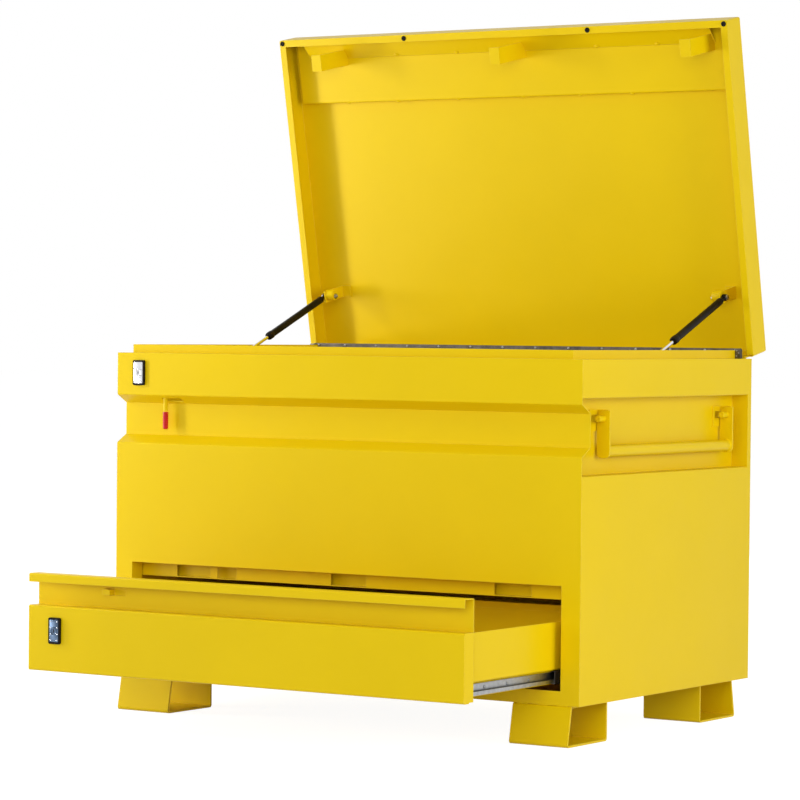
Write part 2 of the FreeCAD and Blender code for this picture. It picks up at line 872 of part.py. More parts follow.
def make_latch():
    hook_z = striker_tip_z + size("striker_plate") + size("latch_hook_lift")
    hook_ends = [x - size("latch_hook_gap") - size("latch_travel") for x in striker_x]
    low_x = hook_ends[0] - size("latch_bar_end")
    high_x = hook_ends[-1]
    body = new_body("XZ_Plane", [rectangle((low_x, high_x), bar_z)], size("latch_bar_thickness"),
                    (bar_y[0] + bar_y[1]) / 2)
    hook_y = (bar_y[0], bar_y[1] + size("latch_hook_reach"))
    hooks = [rectangle((end - size("latch_hook_width"), end), hook_y) for end in hook_ends]
    pad(body, "XY_Plane", hooks, size("latch_hook_plate"), hook_z + size("latch_hook_plate") / 2)
    subpart("lid_latch_bar", body)
    grip_top = lever_z + size("grip_length")
    lever = rod("z", (lever_x, lever_y, grip_top), bar_z[1] - grip_top, size("lever_radius"))
    subpart("latch_lever", lever)
    subpart("lever_grip", make_grip())
    guides = []
    back_y = bar_y[1] + gap + sheet
    floor = bar_z[0] - gap - sheet
    path = [
        (front_y + sheet, bar_z[1]),
        (front_y + sheet, floor),
        (back_y, floor),
        (back_y, floor + size("latch_bar_height") / 2),
    ]
    outline = folded_outline(path, sheet)
    for share in GUIDE_SHARES:
        guides.append(new_body("YZ_Plane", [outline], size("guide_width"), side_x * share))
    subpart("latch_guides", group(guides))


def turned_body(profile, x, y):
    """A body turned about an upright axis from its half outline."""
    body = doc.addObject("PartDesign::Body", "Body")
    sketch = new_sketch(body, "XZ_Plane")
    draw_outline(sketch, profile)
    feature = body.newObject("PartDesign::Revolution", "Revolution")
    feature.Profile = sketch
    feature.ReferenceAxis = (sketch, ["V_Axis"])
    feature.Angle = 360
    place(body, x, y, 0)
    return body


def make_grip():
    """A vinyl sleeve with a tapered end."""
    radius = size("grip_radius")
    top = lever_z + size("grip_length")
    profile = [
        (0, lever_z),
        (radius / 2, lever_z),
        (radius * 0.9, lever_z + radius / 2),
        (radius, lever_z + radius),
        (radius, top),
        (0, top),
    ]
    return turned_body(profile, lever_x, lever_y)


# ---------------------------------------------------------------- locks

def make_lock(prefix, x, z):
    """A lock case with its cover plate and turning plug; returns the three pieces."""
    half_case = size("lock_width") / 2
    half_case_z = size("lock_height") / 2
    half_x = size("lock_plate_width") / 2
    half_z = size("lock_plate_height") / 2
    bore = size("lock_plug_radius") + gap
    case_y = front_y - size("lock_case_depth")
    plate_y = case_y - size("lock_plate_depth")
    case_outline = rectangle((x - half_case, x + half_case), (z - half_case_z, z + half_case_z))
    case = new_body("XZ_Plane", [case_outline], size("lock_case_depth"),
                    front_y - size("lock_case_depth") / 2, holes=[(x, z, bore)])
    round_corners(case, size("lock_corner"), "y")
    plate_outline = rectangle((x - half_x, x + half_x), (z - half_z, z + half_z))
    plate = new_body("XZ_Plane", [plate_outline], size("lock_plate_depth"),
                     case_y - size("lock_plate_depth") / 2, holes=[(x, z, bore)])
    plug_length = size("lock_case_depth") + size("lock_plate_depth") + sheet * 3
    plug = rod("y", (x, plate_y, z), plug_length, size("lock_plug_radius"))
    keyway = block((x - gap * 2, x + gap * 2), (plate_y - sheet, plate_y + sheet),
                   (z - sheet * 2, z + sheet * 2))
    cam_y = plate_y + plug_length - sheet
    cam = block((x - sheet * 2, x + sheet * 2), (cam_y, cam_y + sheet), (z - size("lock_cam_length"), z))
    pieces = [
        subpart(prefix + "_lock_case", case),
        subpart(prefix + "_lock_plate", plate),
        subpart(prefix + "_lock_plug", cut(join([plug, cam]), keyway)),
    ]
    return pieces


# ---------------------------------------------------------------- drawer, drawn closed and then drawn out

drawer_z = opening_z + size("drawer_foot_gap")
drawer_face_top = drawer_z + size("drawer_face_height")
drawer_top = drawer_z + size("drawer_total_height")
drawer_x = opening_x - size("drawer_side_gap")
drawer_back_y = front_y + size("drawer_recess")
drawer_lock_x = size("drawer_lock_inset") - drawer_x
drawer_lock_z = drawer_z + size("drawer_lock_height")
drawer_bar_top = drawer_top - size("drawer_bar_drop")
drawer_bar_z = (drawer_bar_top - size("drawer_bar_height"), drawer_bar_top)
finger_x = size("finger_inset") - drawer_x
finger_z = drawer_top - size("finger_drop")


def draw_out(item):
    """Move a piece, drawn with the drawer closed, out with the drawer."""
    place(item, 0, -size("drawer_out"), 0)
    return item


def make_drawer_front():
    path = [
        (front_y + sheet, drawer_top - size("drawer_lip_height")),
        (front_y + sheet, drawer_top - sheet),
        (drawer_back_y, drawer_top - sheet),
        (drawer_back_y, drawer_face_top),
        (front_y, drawer_face_top),
        (front_y, drawer_z),
        (front_y + size("drawer_return"), drawer_z),
    ]
    body = folded_body("YZ_Plane", path, sheet, drawer_x * 2)
    end = rectangle((front_y + sheet, drawer_back_y + sheet), (drawer_z + sheet, drawer_face_top - sheet))
    for side in (-1, 1):
        pad(body, "YZ_Plane", [end], sheet, (drawer_x - sheet / 2) * side)
    pocket(body, "XZ_Plane", [], sheet * 4, front_y,
           holes=[(drawer_lock_x, drawer_lock_z, size("lock_plug_radius") + gap)])
    half = size("finger_width") / 2 + sheet
    rise = (size("finger_height") + sheet) / 2
    slot = rectangle((finger_x - half, finger_x + half + size("drawer_latch_travel")),
                     (finger_z - rise, finger_z + rise))
    pocket(body, "XZ_Plane", [slot], sheet * 4, drawer_back_y)
    draw_out(subpart("drawer_front", body))


slide_x = opening_x - size("slide_side_gap")
slide_inner_x = slide_x - size("slide_width")
slide_y = (front_y + sheet, front_y + sheet + size("slide_length"))
tray_floor_z = drawer_z + size("tray_lift")
slide_z = (tray_floor_z + size("slide_margin"), tray_floor_z + size("slide_margin") + size("slide_height"))


def make_drawer_tray():
    top = drawer_face_top - sheet
    step = slide_z[1] + size("slide_margin")
    wide = slide_x - size("tray_running_gap")
    path = [
        (-wide, top),
        (-wide, step),
        (-slide_inner_x, step),
        (-slide_inner_x, tray_floor_z),
        (slide_inner_x, tray_floor_z),
        (slide_inner_x, step),
        (wide, step),
        (wide, top),
    ]
    length = size("tray_length")
    body = folded_body("XZ_Plane", path, sheet, length, front_y + sheet + length / 2)
    wall_y = front_y + sheet + length - sheet / 2
    inside = [
        (sheet / 2 - wide, top),
        (sheet / 2 - wide, step + sheet / 2),
        (sheet / 2 - slide_inner_x, step + sheet / 2),
        (sheet / 2 - slide_inner_x, tray_floor_z + sheet / 2),
        (slide_inner_x - sheet / 2, tray_floor_z + sheet / 2),
        (slide_inner_x - sheet / 2, step + sheet / 2),
        (wide - sheet / 2, step + sheet / 2),
        (wide - sheet / 2, top),
    ]
    pad(body, "XZ_Plane", [inside], sheet, wall_y)
    draw_out(subpart("drawer_tray", body))


def channel(web_x, tip_x, low, high, steel):
    """The section of a slide member: a web with a flange at each end."""
    inward = steel if number_of(tip_x - web_x) > 0 else -steel
    return [
        (tip_x, low),
        (web_x, low),
        (web_x, high),
        (tip_x, high),
        (tip_x, high - steel),
        (web_x + inward, high - steel),
        (web_x + inward, low + steel),
        (tip_x, low + steel),
    ]


def make_slides():
    steel = size("slide_steel")
    length = size("slide_length")
    slide_middle = slide_y[0] + length / 2
    nest = steel + size("slide_gap")
    outer = channel(slide_x, slide_x - size("slide_width") * 0.7, slide_z[0], slide_z[1], steel)
    inner = channel(slide_inner_x, slide_x - nest, slide_z[0] + nest, slide_z[1] - nest, steel)
    rail_path = [
        (slide_x + sheet, tray_floor_z),
        (slide_x + sheet, slide_z[1] + size("slide_margin")),
        (side_x - sheet, slide_z[1] + size("slide_margin")),
        (side_x - sheet, slide_z[1] + size("slide_margin") + size("slide_rail_flange")),
    ]
    rail_start = drawer_back_y + sheet * 2
    rail_length = slide_y[1] - rail_start
    rail = folded_body("XZ_Plane", rail_path, sheet, rail_length, rail_start + rail_length / 2)
    drawer_slide = new_body("XZ_Plane", [inner], length, slide_middle)
    for name, item in (
        ("slide_rail", rail),
        ("slide_outer", new_body("XZ_Plane", [outer], length, slide_middle)),
        ("slide_inner", drawer_slide),
    ):
        subpart("right_" + name, item)
        subpart("left_" + name, mirrored(item))
    draw_out(drawer_slide)


keeper_y = (drawer_back_y + sheet + size("keeper_gap"), drawer_back_y + sheet * 2 + size("keeper_gap"))
keeper_z = floor_z - size("keeper_drop")
notch_x = [(opening_x - size("notch_inset")) * step for step in (-1, 0, 1)]


def make_keeper_rail():
    """A trough under the compartment floor; the latch hooks enter it through windows in its front."""
    path = [
        (keeper_y[0], floor_z),
        (keeper_y[0], keeper_z),
        (keeper_y[0] + size("keeper_depth"), keeper_z),
        (keeper_y[0] + size("keeper_depth"), floor_z),
    ]
    half = opening_x + size("stile_width") / 2
    body = new_body("YZ_Plane", [folded_outline(path, sheet)], half * 2)
    window_z = (keeper_z + sheet, keeper_z + size("notch_height"))
    half_notch = size("notch_width") / 2
    windows = [rectangle((x - half_notch, x + half_notch), window_z) for x in notch_x]
    finger = size("finger_notch_width") / 2
    centre = size("finger_notch_inset") - opening_x
    windows.append(rectangle((centre - finger, centre + finger), window_z))
    pocket(body, "XZ_Plane", windows, sheet * 3, keeper_y[0])
    subpart("drawer_keeper_rail", body)


def make_drawer_latch():
    thick = size("drawer_bar_thickness")
    rear_face = drawer_back_y + sheet
    low_y = rear_face + gap
    bar_back = low_y + thick
    half = drawer_x - size("drawer_bar_inset")
    body = new_body("XZ_Plane", [rectangle((-half, half), drawer_bar_z)], thick, low_y + thick / 2)
    plate = size("hook_plate")
    head_y = keeper_y[1] + sheet
    hook_z = (drawer_bar_z[1] - size("hook_height"), drawer_bar_z[1])
    for x in notch_x:
        low_x = x - sheet
        stem = rectangle((low_x, low_x + size("hook_stem")), (bar_back, head_y + plate))
        head = rectangle((low_x, low_x + size("hook_head")), (head_y, head_y + plate))
        pad(body, "XY_Plane", [stem], hook_z[1] - hook_z[0], (hook_z[0] + hook_z[1]) / 2)
        pad(body, "XY_Plane", [head], hook_z[1] - hook_z[0], (hook_z[0] + hook_z[1]) / 2)
    half_finger = size("finger_width") / 2
    reach = rear_face + gap - size("finger_reach") - sheet
    finger = rectangle((finger_x - half_finger, finger_x + half_finger), (reach, low_y))
    pad(body, "XY_Plane", [finger], size("finger_height"), finger_z)
    draw_out(subpart("drawer_latch_bar", body))
    shelf = drawer_bar_z[0] - gap
    guide_y = bar_back + gap
    path = [
        (guide_y, shelf + size("finger_height")),
        (guide_y, shelf),
        (rear_face, shelf),
        (rear_face, shelf - size("guide_width") / 2),
    ]
    outline = folded_outline(path, sheet / 2)
    guides = [new_body("YZ_Plane", [outline], size("guide_width"), side_x * share)
              for share in GUIDE_SHARES]
    draw_out(subpart("drawer_latch_guides", group(guides)))


# ---------------------------------------------------------------- side handles

pivot_x = pocket_x + size("pivot_out")


def make_handles():
    half = size("arm_width") / 2
    low = pivot_z - size("arm_below_pivot")
    high = pivot_z + size("arm_above_pivot")
    clip = size("arm_clip")
    corner = size("arm_corner")
    thick = size("arm_thickness")
    profile = arc_points(pivot_x - half + corner, low + corner, corner, 180, 270, 4)
    profile += arc_points(pivot_x + half - corner, low + corner, corner, 270, 360, 4)
    profile += [(pivot_x + half, high), (pivot_x - half + clip, high), (pivot_x - half, high - clip)]
    bore = size("pivot_radius") + size("pin_running_gap")
    arms = [new_body("XZ_Plane", [profile], thick, y + thick / 2, holes=[(pivot_x, pivot_z, bore)])
            for y in arm_front_y]
    tube_z = low + size("grip_above_arm_end")
    start = (pivot_x, arm_front_y[0] + thick, tube_z)
    length = arm_front_y[1] - arm_front_y[0] - thick
    outer = rod("y", start, length, size("grip_tube_radius"))
    inner = rod("y", start, length, size("grip_tube_radius") - sheet)
    brackets, pins = [], []
    for y in arm_front_y:
        back = y + thick + gap + size("lug_plate")
        path = [
            (pivot_x + size("pivot_head_radius") + sheet, back),
            (pocket_x, back),
            (pocket_x, y - size("lug_window_ahead") - size("lug_edge")),
        ]
        rise = size("lug_above_pivot") + size("lug_below_pivot")
        lug = new_body("XY_Plane", [folded_outline(path, size("lug_plate"))], rise,
                       pivot_z + size("lug_above_pivot") - rise / 2)
        pocket(lug, "YZ_Plane", [lug_window(y)], size("lug_plate") * 4, pocket_x)
        shank = (y - gap, back)
        bore = rod("y", (pivot_x, shank[0], pivot_z), shank[1] - shank[0] + gap, size("pivot_radius"))
        brackets.append(cut(lug, bore))
        pins.append(join([
            rod("y", (pivot_x, shank[0], pivot_z), shank[1] - shank[0], size("pivot_radius")),
            rod("y", (pivot_x, shank[0] - size("pivot_head_length"), pivot_z), size("pivot_head_length"),
                size("pivot_head_radius")),
        ]))
    for name, item in (
        ("handle_arms", group(arms)),
        ("handle_tube", cut(outer, inner)),
        ("handle_brackets", group(brackets)),
        ("handle_pins", group(pins)),
    ):
        subpart("right_" + name, item)
        subpart("left_" + name, mirrored(item))


# ---------------------------------------------------------------- gas struts

strut_x = side_x - size("strut_side_inset")
eye_half = size("strut_eye_thickness") / 2
strut_top = (hinge_y - size("strut_reach"), lid_inside_z - size("strut_standoff"))
stud = (rear_y - size("stud_from_rear"), top_z - size("stud_drop"))


def opened(point):
    """Where a point of the closed lid lies once the lid is open, in plain numbers."""
    turn = math.radians(number_of(size("lid_open_angle")))
    dy = number_of(point[0]) - number_of(hinge_y)
    dz = number_of(point[1]) - number_of(hinge_z)
    return (number_of(hinge_y) + dy * math.cos(turn) + dz * math.sin(turn),
            number_of(hinge_z) - dy * math.sin(turn) + dz * math.cos(turn))


def make_struts():
    top = opened(strut_top)
    run = (number_of(stud[0]) - top[0], number_of(stud[1]) - top[1])
    length = math.hypot(*run)
    turn = math.degrees(math.atan2(-run[0], run[1]))
    eye = size("strut_eye_radius")
    neck = size("strut_neck")
    body_end = size("strut_body_length")
    rod_radius = size("strut_rod_radius")
    bore_radius = size("strut_body_radius") - size("strut_wall")
    guide = size("strut_guide")
    neck_half = eye_half - gap
    tube = [
        rod("x", (-eye_half, 0, 0), eye_half * 2, eye),
        block((-neck_half, neck_half), (-neck_half, neck_half), (eye - sheet, neck + sheet)),
        rod("z", (0, 0, neck), body_end - neck, size("strut_body_radius")),
    ]
    hollow = [
        rod("x", (-eye_half * 2, 0, 0), eye_half * 4, size("strut_pin_radius") + size("pin_running_gap")),
        rod("z", (0, 0, neck + guide / 2), body_end - neck - guide * 1.5, bore_radius),
        rod("z", (0, 0, body_end - guide * 2), guide * 3, rod_radius + size("pin_running_gap")),
    ]
    cylinder = cut(join(tube), join(hollow))
    piston_z = body_end - guide * 2
    rod_end = [
        rod("z", (0, 0, piston_z), length - number_of(piston_z), rod_radius),
        rod("z", (0, 0, piston_z), guide / 2, bore_radius - gap),
        rod("x", (-eye_half, 0, length), eye_half * 2, eye),
    ]
    piston_rod = join(rod_end)
    for item in (cylinder, piston_rod):
        rotation = FreeCAD.Rotation(FreeCAD.Vector(1, 0, 0), turn)
        item.Placement = FreeCAD.Placement(FreeCAD.Vector(number_of(strut_x), top[0], top[1]), rotation)
        bind(item, "Placement.Base.x", strut_x)
    for name, item in (("strut_cylinder", cylinder), ("strut_rod", piston_rod)):
        subpart("right_" + name, item)
        subpart("left_" + name, mirrored(item))


def make_strut_mounts():
    plate = size("bracket_plate")
    half = size("bracket_half_width")
    face_x = strut_x - eye_half - gap
    y, z = strut_top
    path = [
        (face_x, z - half),
        (face_x, lid_inside_z),
        (face_x - size("bracket_foot"), lid_inside_z),
    ]
    bracket = new_body("XZ_Plane", [folded_outline(path, plate)], half * 2, y)
    head = size("strut_bolt_head")
    hexagon = prism_outline(y, z, size("strut_bolt_head_radius"), 6)
    bolt = [
        new_body("YZ_Plane", [hexagon], head, face_x - plate - head / 2),
        rod("x", (face_x - plate, y, z), plate + eye_half * 2 + gap * 2, size("strut_pin_radius")),
        new_body("YZ_Plane", [hexagon], head, strut_x + eye_half + gap + head / 2),
    ]
    bolt_shape = join(bolt)
    hole = rod("x", (face_x - plate * 2, y, z), plate * 3, size("strut_pin_radius"))
    drilled = cut(bracket, hole)
    open_with_lid(subpart("strut_lid_brackets", group([drilled, mirrored(drilled)])))
    open_with_lid(subpart("strut_bolts", group([bolt_shape, mirrored(bolt_shape)])))
    boss_x = strut_x + eye_half + gap
    plate_x = boss_x + size("stud_boss")
    rise = size("stud_bracket_rise")
    path = [
        (plate_x, stud[1] + rise),
        (plate_x, stud[1] - rise),
        (side_x - sheet, stud[1] - rise),
        (side_x - sheet, stud[1] + rise),
    ]
    bracket = folded_body("XZ_Plane", path, plate, half * 2, stud[0])
    boss = rod("x", (boss_x, stud[0], stud[1]), size("stud_boss"), size("stud_boss_radius"))
    mount = join([bracket, boss])
    subpart("strut_body_brackets", group([mount, mirrored(mount)]))


make_front_panel()
make_rear_panel()
make_side_panels()
make_floors()
make_top_frame()
make_lip_strip()
make_feet()
make_hinge()
make_lid_shell()
make_lid_stiffeners()
make_strikers()
make_bumpers()
make_latch()
make_lock("lid", lock_x, lid_lock_z)
for piece in make_lock("drawer", drawer_lock_x, drawer_lock_z):
    draw_out(piece)
make_drawer_front()
make_drawer_tray()
make_slides()
make_keeper_rail()
make_drawer_latch()
make_handles()
make_struts()
make_strut_mounts()
swing_lid_open()
doc.recompute()

faulty = [item.Label for item in doc.Objects if "Invalid" in item.State or "Error" in item.State]
faulty += [item.Label for item in subparts if item.Shape.isNull() or not item.Shape.isValid()]
if faulty:
    raise RuntimeError("These did not build: " + ", ".join(faulty))

for item in subparts:
    item.Shape.exportStep("parts/%s.step" % item.Label)
print("%d sub-parts written" % len(subparts))
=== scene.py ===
import json
import math
import random

import bmesh
import bpy
from mathutils import Matrix, Vector


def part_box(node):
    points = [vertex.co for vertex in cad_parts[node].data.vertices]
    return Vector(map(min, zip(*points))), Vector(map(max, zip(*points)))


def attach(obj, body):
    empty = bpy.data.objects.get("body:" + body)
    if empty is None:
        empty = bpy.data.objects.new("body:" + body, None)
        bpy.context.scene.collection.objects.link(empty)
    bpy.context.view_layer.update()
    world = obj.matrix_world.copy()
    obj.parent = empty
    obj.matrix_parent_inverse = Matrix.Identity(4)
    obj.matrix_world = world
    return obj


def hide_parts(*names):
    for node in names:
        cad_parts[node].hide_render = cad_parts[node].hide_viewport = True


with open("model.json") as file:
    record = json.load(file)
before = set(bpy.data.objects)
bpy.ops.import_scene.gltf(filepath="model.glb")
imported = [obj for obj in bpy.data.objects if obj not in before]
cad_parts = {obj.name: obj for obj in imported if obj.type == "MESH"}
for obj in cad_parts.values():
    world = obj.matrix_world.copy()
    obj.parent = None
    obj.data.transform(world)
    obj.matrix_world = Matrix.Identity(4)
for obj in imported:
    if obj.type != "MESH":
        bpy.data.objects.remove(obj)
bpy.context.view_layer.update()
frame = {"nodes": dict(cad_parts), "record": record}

# Metres. X runs to the right, Y to the rear and Z up, as in the CAD model.

nodes = frame["nodes"]
slots = {entry["node"]: entry["material_slot"] for entry in frame["record"]["subparts"]}
rng = random.Random(7)


# ---------------------------------------------------------------- materials

class Shader:
    """A node material with a few short calls for the nodes that repeat."""

    def __init__(self, name, color, metallic, roughness, specular):
        self.material = bpy.data.materials.new(name)
        self.material.use_nodes = True
        self.tree = self.material.node_tree
        self.bsdf = self.tree.nodes["Principled BSDF"]
        self.bsdf.inputs["Base Color"].default_value = (*color, 1)
        self.bsdf.inputs["Metallic"].default_value = metallic
        self.bsdf.inputs["Roughness"].default_value = roughness
        self.bsdf.inputs["Specular IOR Level"].default_value = specular
        self.coords = self.node("ShaderNodeTexCoord").outputs["Object"]

    def node(self, kind, **settings):
        item = self.tree.nodes.new(kind)
        for key, value in settings.items():
            setattr(item, key, value)
        return item

    def link(self, source, target):
        self.tree.links.new(source, target)

    def noise(self, scale, detail=3.0, roughness=0.5, stretch=None):
        """A noise value from 0 to 1; stretch squeezes the pattern along each axis."""
        item = self.node("ShaderNodeTexNoise")
        item.inputs["Scale"].default_value = scale
        item.inputs["Detail"].default_value = detail
        item.inputs["Roughness"].default_value = roughness
        source = self.coords
        if stretch:
            mapping = self.node("ShaderNodeMapping")
            mapping.inputs["Scale"].default_value = stretch
            self.link(self.coords, mapping.inputs["Vector"])
            source = mapping.outputs["Vector"]
        self.link(source, item.inputs["Vector"])
        return item.outputs["Fac"]

    def ramp(self, value, stops):
        """A colour from a value, between two stops of a place and a colour."""
        item = self.node("ShaderNodeValToRGB")
        for element, (place, color) in zip(item.color_ramp.elements, stops):
            element.position = place
            element.color = (*color, 1)
        self.link(value, item.inputs["Fac"])
        return item.outputs["Color"]

    def remap(self, value, low, high, from_low=0.0, from_high=1.0):
        item = self.node("ShaderNodeMapRange")
        item.inputs["From Min"].default_value = from_low
        item.inputs["From Max"].default_value = from_high
        item.inputs["To Min"].default_value = low
        item.inputs["To Max"].default_value = high
        self.link(value, item.inputs["Value"])
        return item.outputs["Result"]

    def multiply(self, first, second):
        item = self.node("ShaderNodeMath", operation="MULTIPLY")
        self.link(first, item.inputs[0])
        self.link(second, item.inputs[1])
        return item.outputs["Value"]

    def mix(self, factor, first, second):
        """Blend from a linked colour to a fixed one."""
        item = self.node("ShaderNodeMix", data_type="RGBA")
        self.link(factor, item.inputs["Factor"])
        sockets = {socket.name: socket for socket in item.inputs if socket.type == "RGBA"}
        self.link(first, sockets["A"])
        sockets["B"].default_value = (*second, 1)
        return [socket for socket in item.outputs if socket.type == "RGBA"][0]

    def bump(self, height, distance, strength, under):
        item = self.node("ShaderNodeBump")
        item.inputs["Distance"].default_value = distance
        item.inputs["Strength"].default_value = strength
        self.link(height, item.inputs["Height"])
        self.link(under, item.inputs["Normal"])
        return item.outputs["Normal"]

    def soft_edges(self, radius):
        """A normal that rounds folds and cut edges a little."""
        item = self.node("ShaderNodeBevel", samples=6)
        item.inputs["Radius"].default_value = radius
        return item.outputs["Normal"]

    def edges(self, radius):
        """1 along folds and cut edges, 0 on open faces."""
        dot = self.node("ShaderNodeVectorMath", operation="DOT_PRODUCT")
        self.link(self.soft_edges(radius), dot.inputs[0])
        self.link(self.node("ShaderNodeNewGeometry").outputs["Normal"], dot.inputs[1])
        sharp, flat = 0.78, 0.985
        return self.remap(dot.outputs["Value"], 1.0, 0.0, sharp, flat)

    def set(self, name, value):
        self.link(value, self.bsdf.inputs[name])


def shade(color, factor):
    return tuple(channel * factor for channel in color)


def make_paint():
    """Powder coat: a fine orange peel, slow drift in colour, and a painted highlight along the
    folds.
    """
    yellow = (0.812, 0.574, 0.0020)
    fold_highlight = (0.96, 0.76, 0.09)
    look = Shader("yellow_paint", yellow, metallic=0.0, roughness=0.36, specular=0.14)
    drift = look.noise(2.3, 4.0, 0.55)
    tone = look.ramp(drift, [(0.30, shade(yellow, 0.965)), (0.70, shade(yellow, 1.02))])
    mottle = look.remap(look.noise(38.0, 3.0, 0.6), 0.0, 0.10)
    tone = look.mix(mottle, tone, shade(yellow, 0.90))
    highlight_breakup = look.remap(look.noise(26.0, 3.0, 0.7), 0.10, 0.75, 0.35, 0.70)
    # Painted highlight: folds and cut edges are mixed towards a paler yellow, in patches.
    tone = look.mix(look.multiply(look.edges(0.0022), highlight_breakup), tone, fold_highlight)
    look.set("Base Color", tone)
    look.set("Roughness", look.remap(look.noise(11.0), 0.30, 0.42))
    wave = look.bump(look.noise(5.0, 2.0), 0.0012, 0.35, look.soft_edges(0.0012))
    look.set("Normal", look.bump(look.noise(620.0, 2.0), 0.00009, 0.5, wave))
    return look.material


def make_finish(name, color, roughness, tone, gloss, relief, edge, metallic=0.0, specular=0.5):
    """A plain finish from three noises.

    tone is a noise and two stops, each its value and a factor on the colour. gloss is a noise and
    the range of the roughness. relief is a noise and its bump's distance and strength. edge is the
    radius that softens folds and cut edges.
    """
    look = Shader(name, color, metallic, roughness, specular)
    stops = [(place, shade(color, factor)) for place, factor in tone[1:]]
    look.set("Base Color", look.ramp(look.noise(*tone[0]), stops))
    look.set("Roughness", look.remap(look.noise(*gloss[0]), *gloss[1:]))
    look.set("Normal", look.bump(look.noise(*relief[0]), *relief[1:], look.soft_edges(edge)))
    return look.material


brushed = (420.0, 3.0, 0.6, (0.04, 0.04, 1.0))
haze = (160.0, 3.0)
stain = (34.0, 5.0, 0.65)

# The first six are the record's slots; the last three stand in for a slot on some pieces.
finishes = {
    "yellow_paint": make_paint(),
    "zinc_steel": make_finish(
        "zinc_steel", (0.40, 0.41, 0.42), metallic=1.0, roughness=0.34,
        tone=((90.0, 4.0, 0.6), (0.30, 0.80), (0.72, 1.12)),
        gloss=(brushed, 0.26, 0.46), relief=(brushed, 0.00004, 0.6), edge=0.0006),
    "chrome": make_finish(
        "chrome", (0.80, 0.81, 0.83), metallic=1.0, roughness=0.12,
        tone=(haze, (0.30, 0.93), (0.70, 1.0)),
        gloss=(haze, 0.07, 0.18), relief=((500.0, 2.0), 0.00002, 0.4), edge=0.0004),
    "black_steel": make_finish(
        "black_steel", (0.0075, 0.0055, 0.0035), roughness=0.34, specular=0.09,
        tone=((60.0,), (0.3, 0.8), (0.7, 1.7)),
        gloss=((140.0, 4.0), 0.24, 0.44), relief=((900.0, 2.0), 0.00005, 0.5), edge=0.0005),
    "rubber": make_finish(
        "rubber", (0.010, 0.009, 0.008), roughness=0.75, specular=0.15,
        tone=((200.0,), (0.3, 0.7), (0.7, 1.6)),
        gloss=((300.0,), 0.62, 0.86), relief=((1400.0, 3.0), 0.0001, 0.5), edge=0.0006),
    "red_vinyl": make_finish(
        "red_vinyl", (0.58, 0.010, 0.012), roughness=0.34, specular=0.42,
        tone=((120.0,), (0.3, 0.88), (0.7, 1.08)),
        gloss=((260.0,), 0.30, 0.50), relief=((900.0, 2.0), 0.00008, 0.5), edge=0.0006),
    # Zinc darkened and browned with painted shade, for pieces that sit in shade within the box.
    "shade_darkened_zinc": make_finish(
        "shade_darkened_zinc", (0.150, 0.138, 0.120), metallic=1.0, roughness=0.55,
        tone=(stain, (0.32, 0.62), (0.70, 1.35)),
        gloss=((150.0, 4.0), 0.44, 0.70), relief=(stain, 0.00010, 0.6), edge=0.0006),
    # Chrome darkened and tinted blue: a painted reflection of a dim, bluish surround, for the
    # drawer's lock.
    "blue_reflection_chrome": make_finish(
        "blue_reflection_chrome", (0.085, 0.125, 0.190), metallic=1.0, roughness=0.38,
        tone=((70.0, 4.0, 0.6), (0.30, 0.75), (0.70, 1.25)),
        gloss=((240.0,), 0.30, 0.46), relief=((500.0, 2.0), 0.00002, 0.4), edge=0.0004),
    # Brown painted shade, for the latch bar that sits in shadow behind the panel's slot.
    "shade_brown_steel": make_finish(
        "shade_brown_steel", (0.115, 0.052, 0.012), roughness=0.60, specular=0.20,
        tone=((45.0, 4.0), (0.30, 0.75), (0.70, 1.20)),
        gloss=((200.0,), 0.50, 0.70), relief=((700.0, 2.0), 0.00006, 0.5), edge=0.0006),
}
# These pieces take a finish darkened with painted shade instead of their slot's own.
special_finish = {
    "rear_lip_strip": "shade_darkened_zinc",
    "left_slide_outer": "shade_darkened_zinc",
    "right_slide_outer": "shade_darkened_zinc",
    "left_slide_rail": "shade_darkened_zinc",
    "right_slide_rail": "shade_darkened_zinc",
    "lid_latch_bar": "shade_brown_steel",
}

for name, item in nodes.items():
    item.data.materials.clear()
    item.data.materials.append(finishes[special_finish.get(name, slots[name])])


# ---------------------------------------------------------------- measures

joints = {joint["name"]: joint for joint in frame["record"]["behaviour"]["joints"]}
hinge = Vector(joints["lid_hinge"]["pos_m"])
lid_angle = math.radians(joints["lid_hinge"]["range_deg"][1])
swing_open = Matrix.Rotation(-lid_angle, 4, "X")
lid_open = Matrix.Translation(hinge) @ swing_open @ Matrix.Translation(-hinge)

LEFT = Vector((-1, 0, 0))
RIGHT = Vector((1, 0, 0))
AHEAD = Vector((0, -1, 0))
BEHIND = Vector((0, 1, 0))
UP = Vector((0, 0, 1))
DOWN = Vector((0, 0, -1))


def corners(node):
    """The lowest and highest corners of a CAD node at rest."""
    return [Vector(corner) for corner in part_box(node)]


side_x = corners("rear_panel")[1].x
rear_y = corners("rear_panel")[1].y
top_z = corners("rear_panel")[1].z
base_z = corners("rear_panel")[0].z
sheet = 0.002

# The lid's pieces are placed with the lid shut, and then swung open by lid_open.
lid_length = 0.765
lid_side_gap = 0.0011
lid_rim_gap = 0.0033
lid_inner_depth = 0.065
lid_flange = 0.0165
stiffener_depth = 0.020
stiffener_length = 0.162
front_box_length = 0.054
lid_x = side_x - lid_side_gap
lid_front_y = rear_y - lid_length
lid_rim_z = top_z + lid_rim_gap
stiffener_z = lid_rim_z + lid_inner_depth - stiffener_depth
stiffener_y = lid_front_y + stiffener_length
front_box_y = lid_front_y + front_box_length


# ---------------------------------------------------------------- mesh helpers

def add_object(name, data):
    item = bpy.data.objects.new(name, data)
    bpy.context.collection.objects.link(item)
    return item


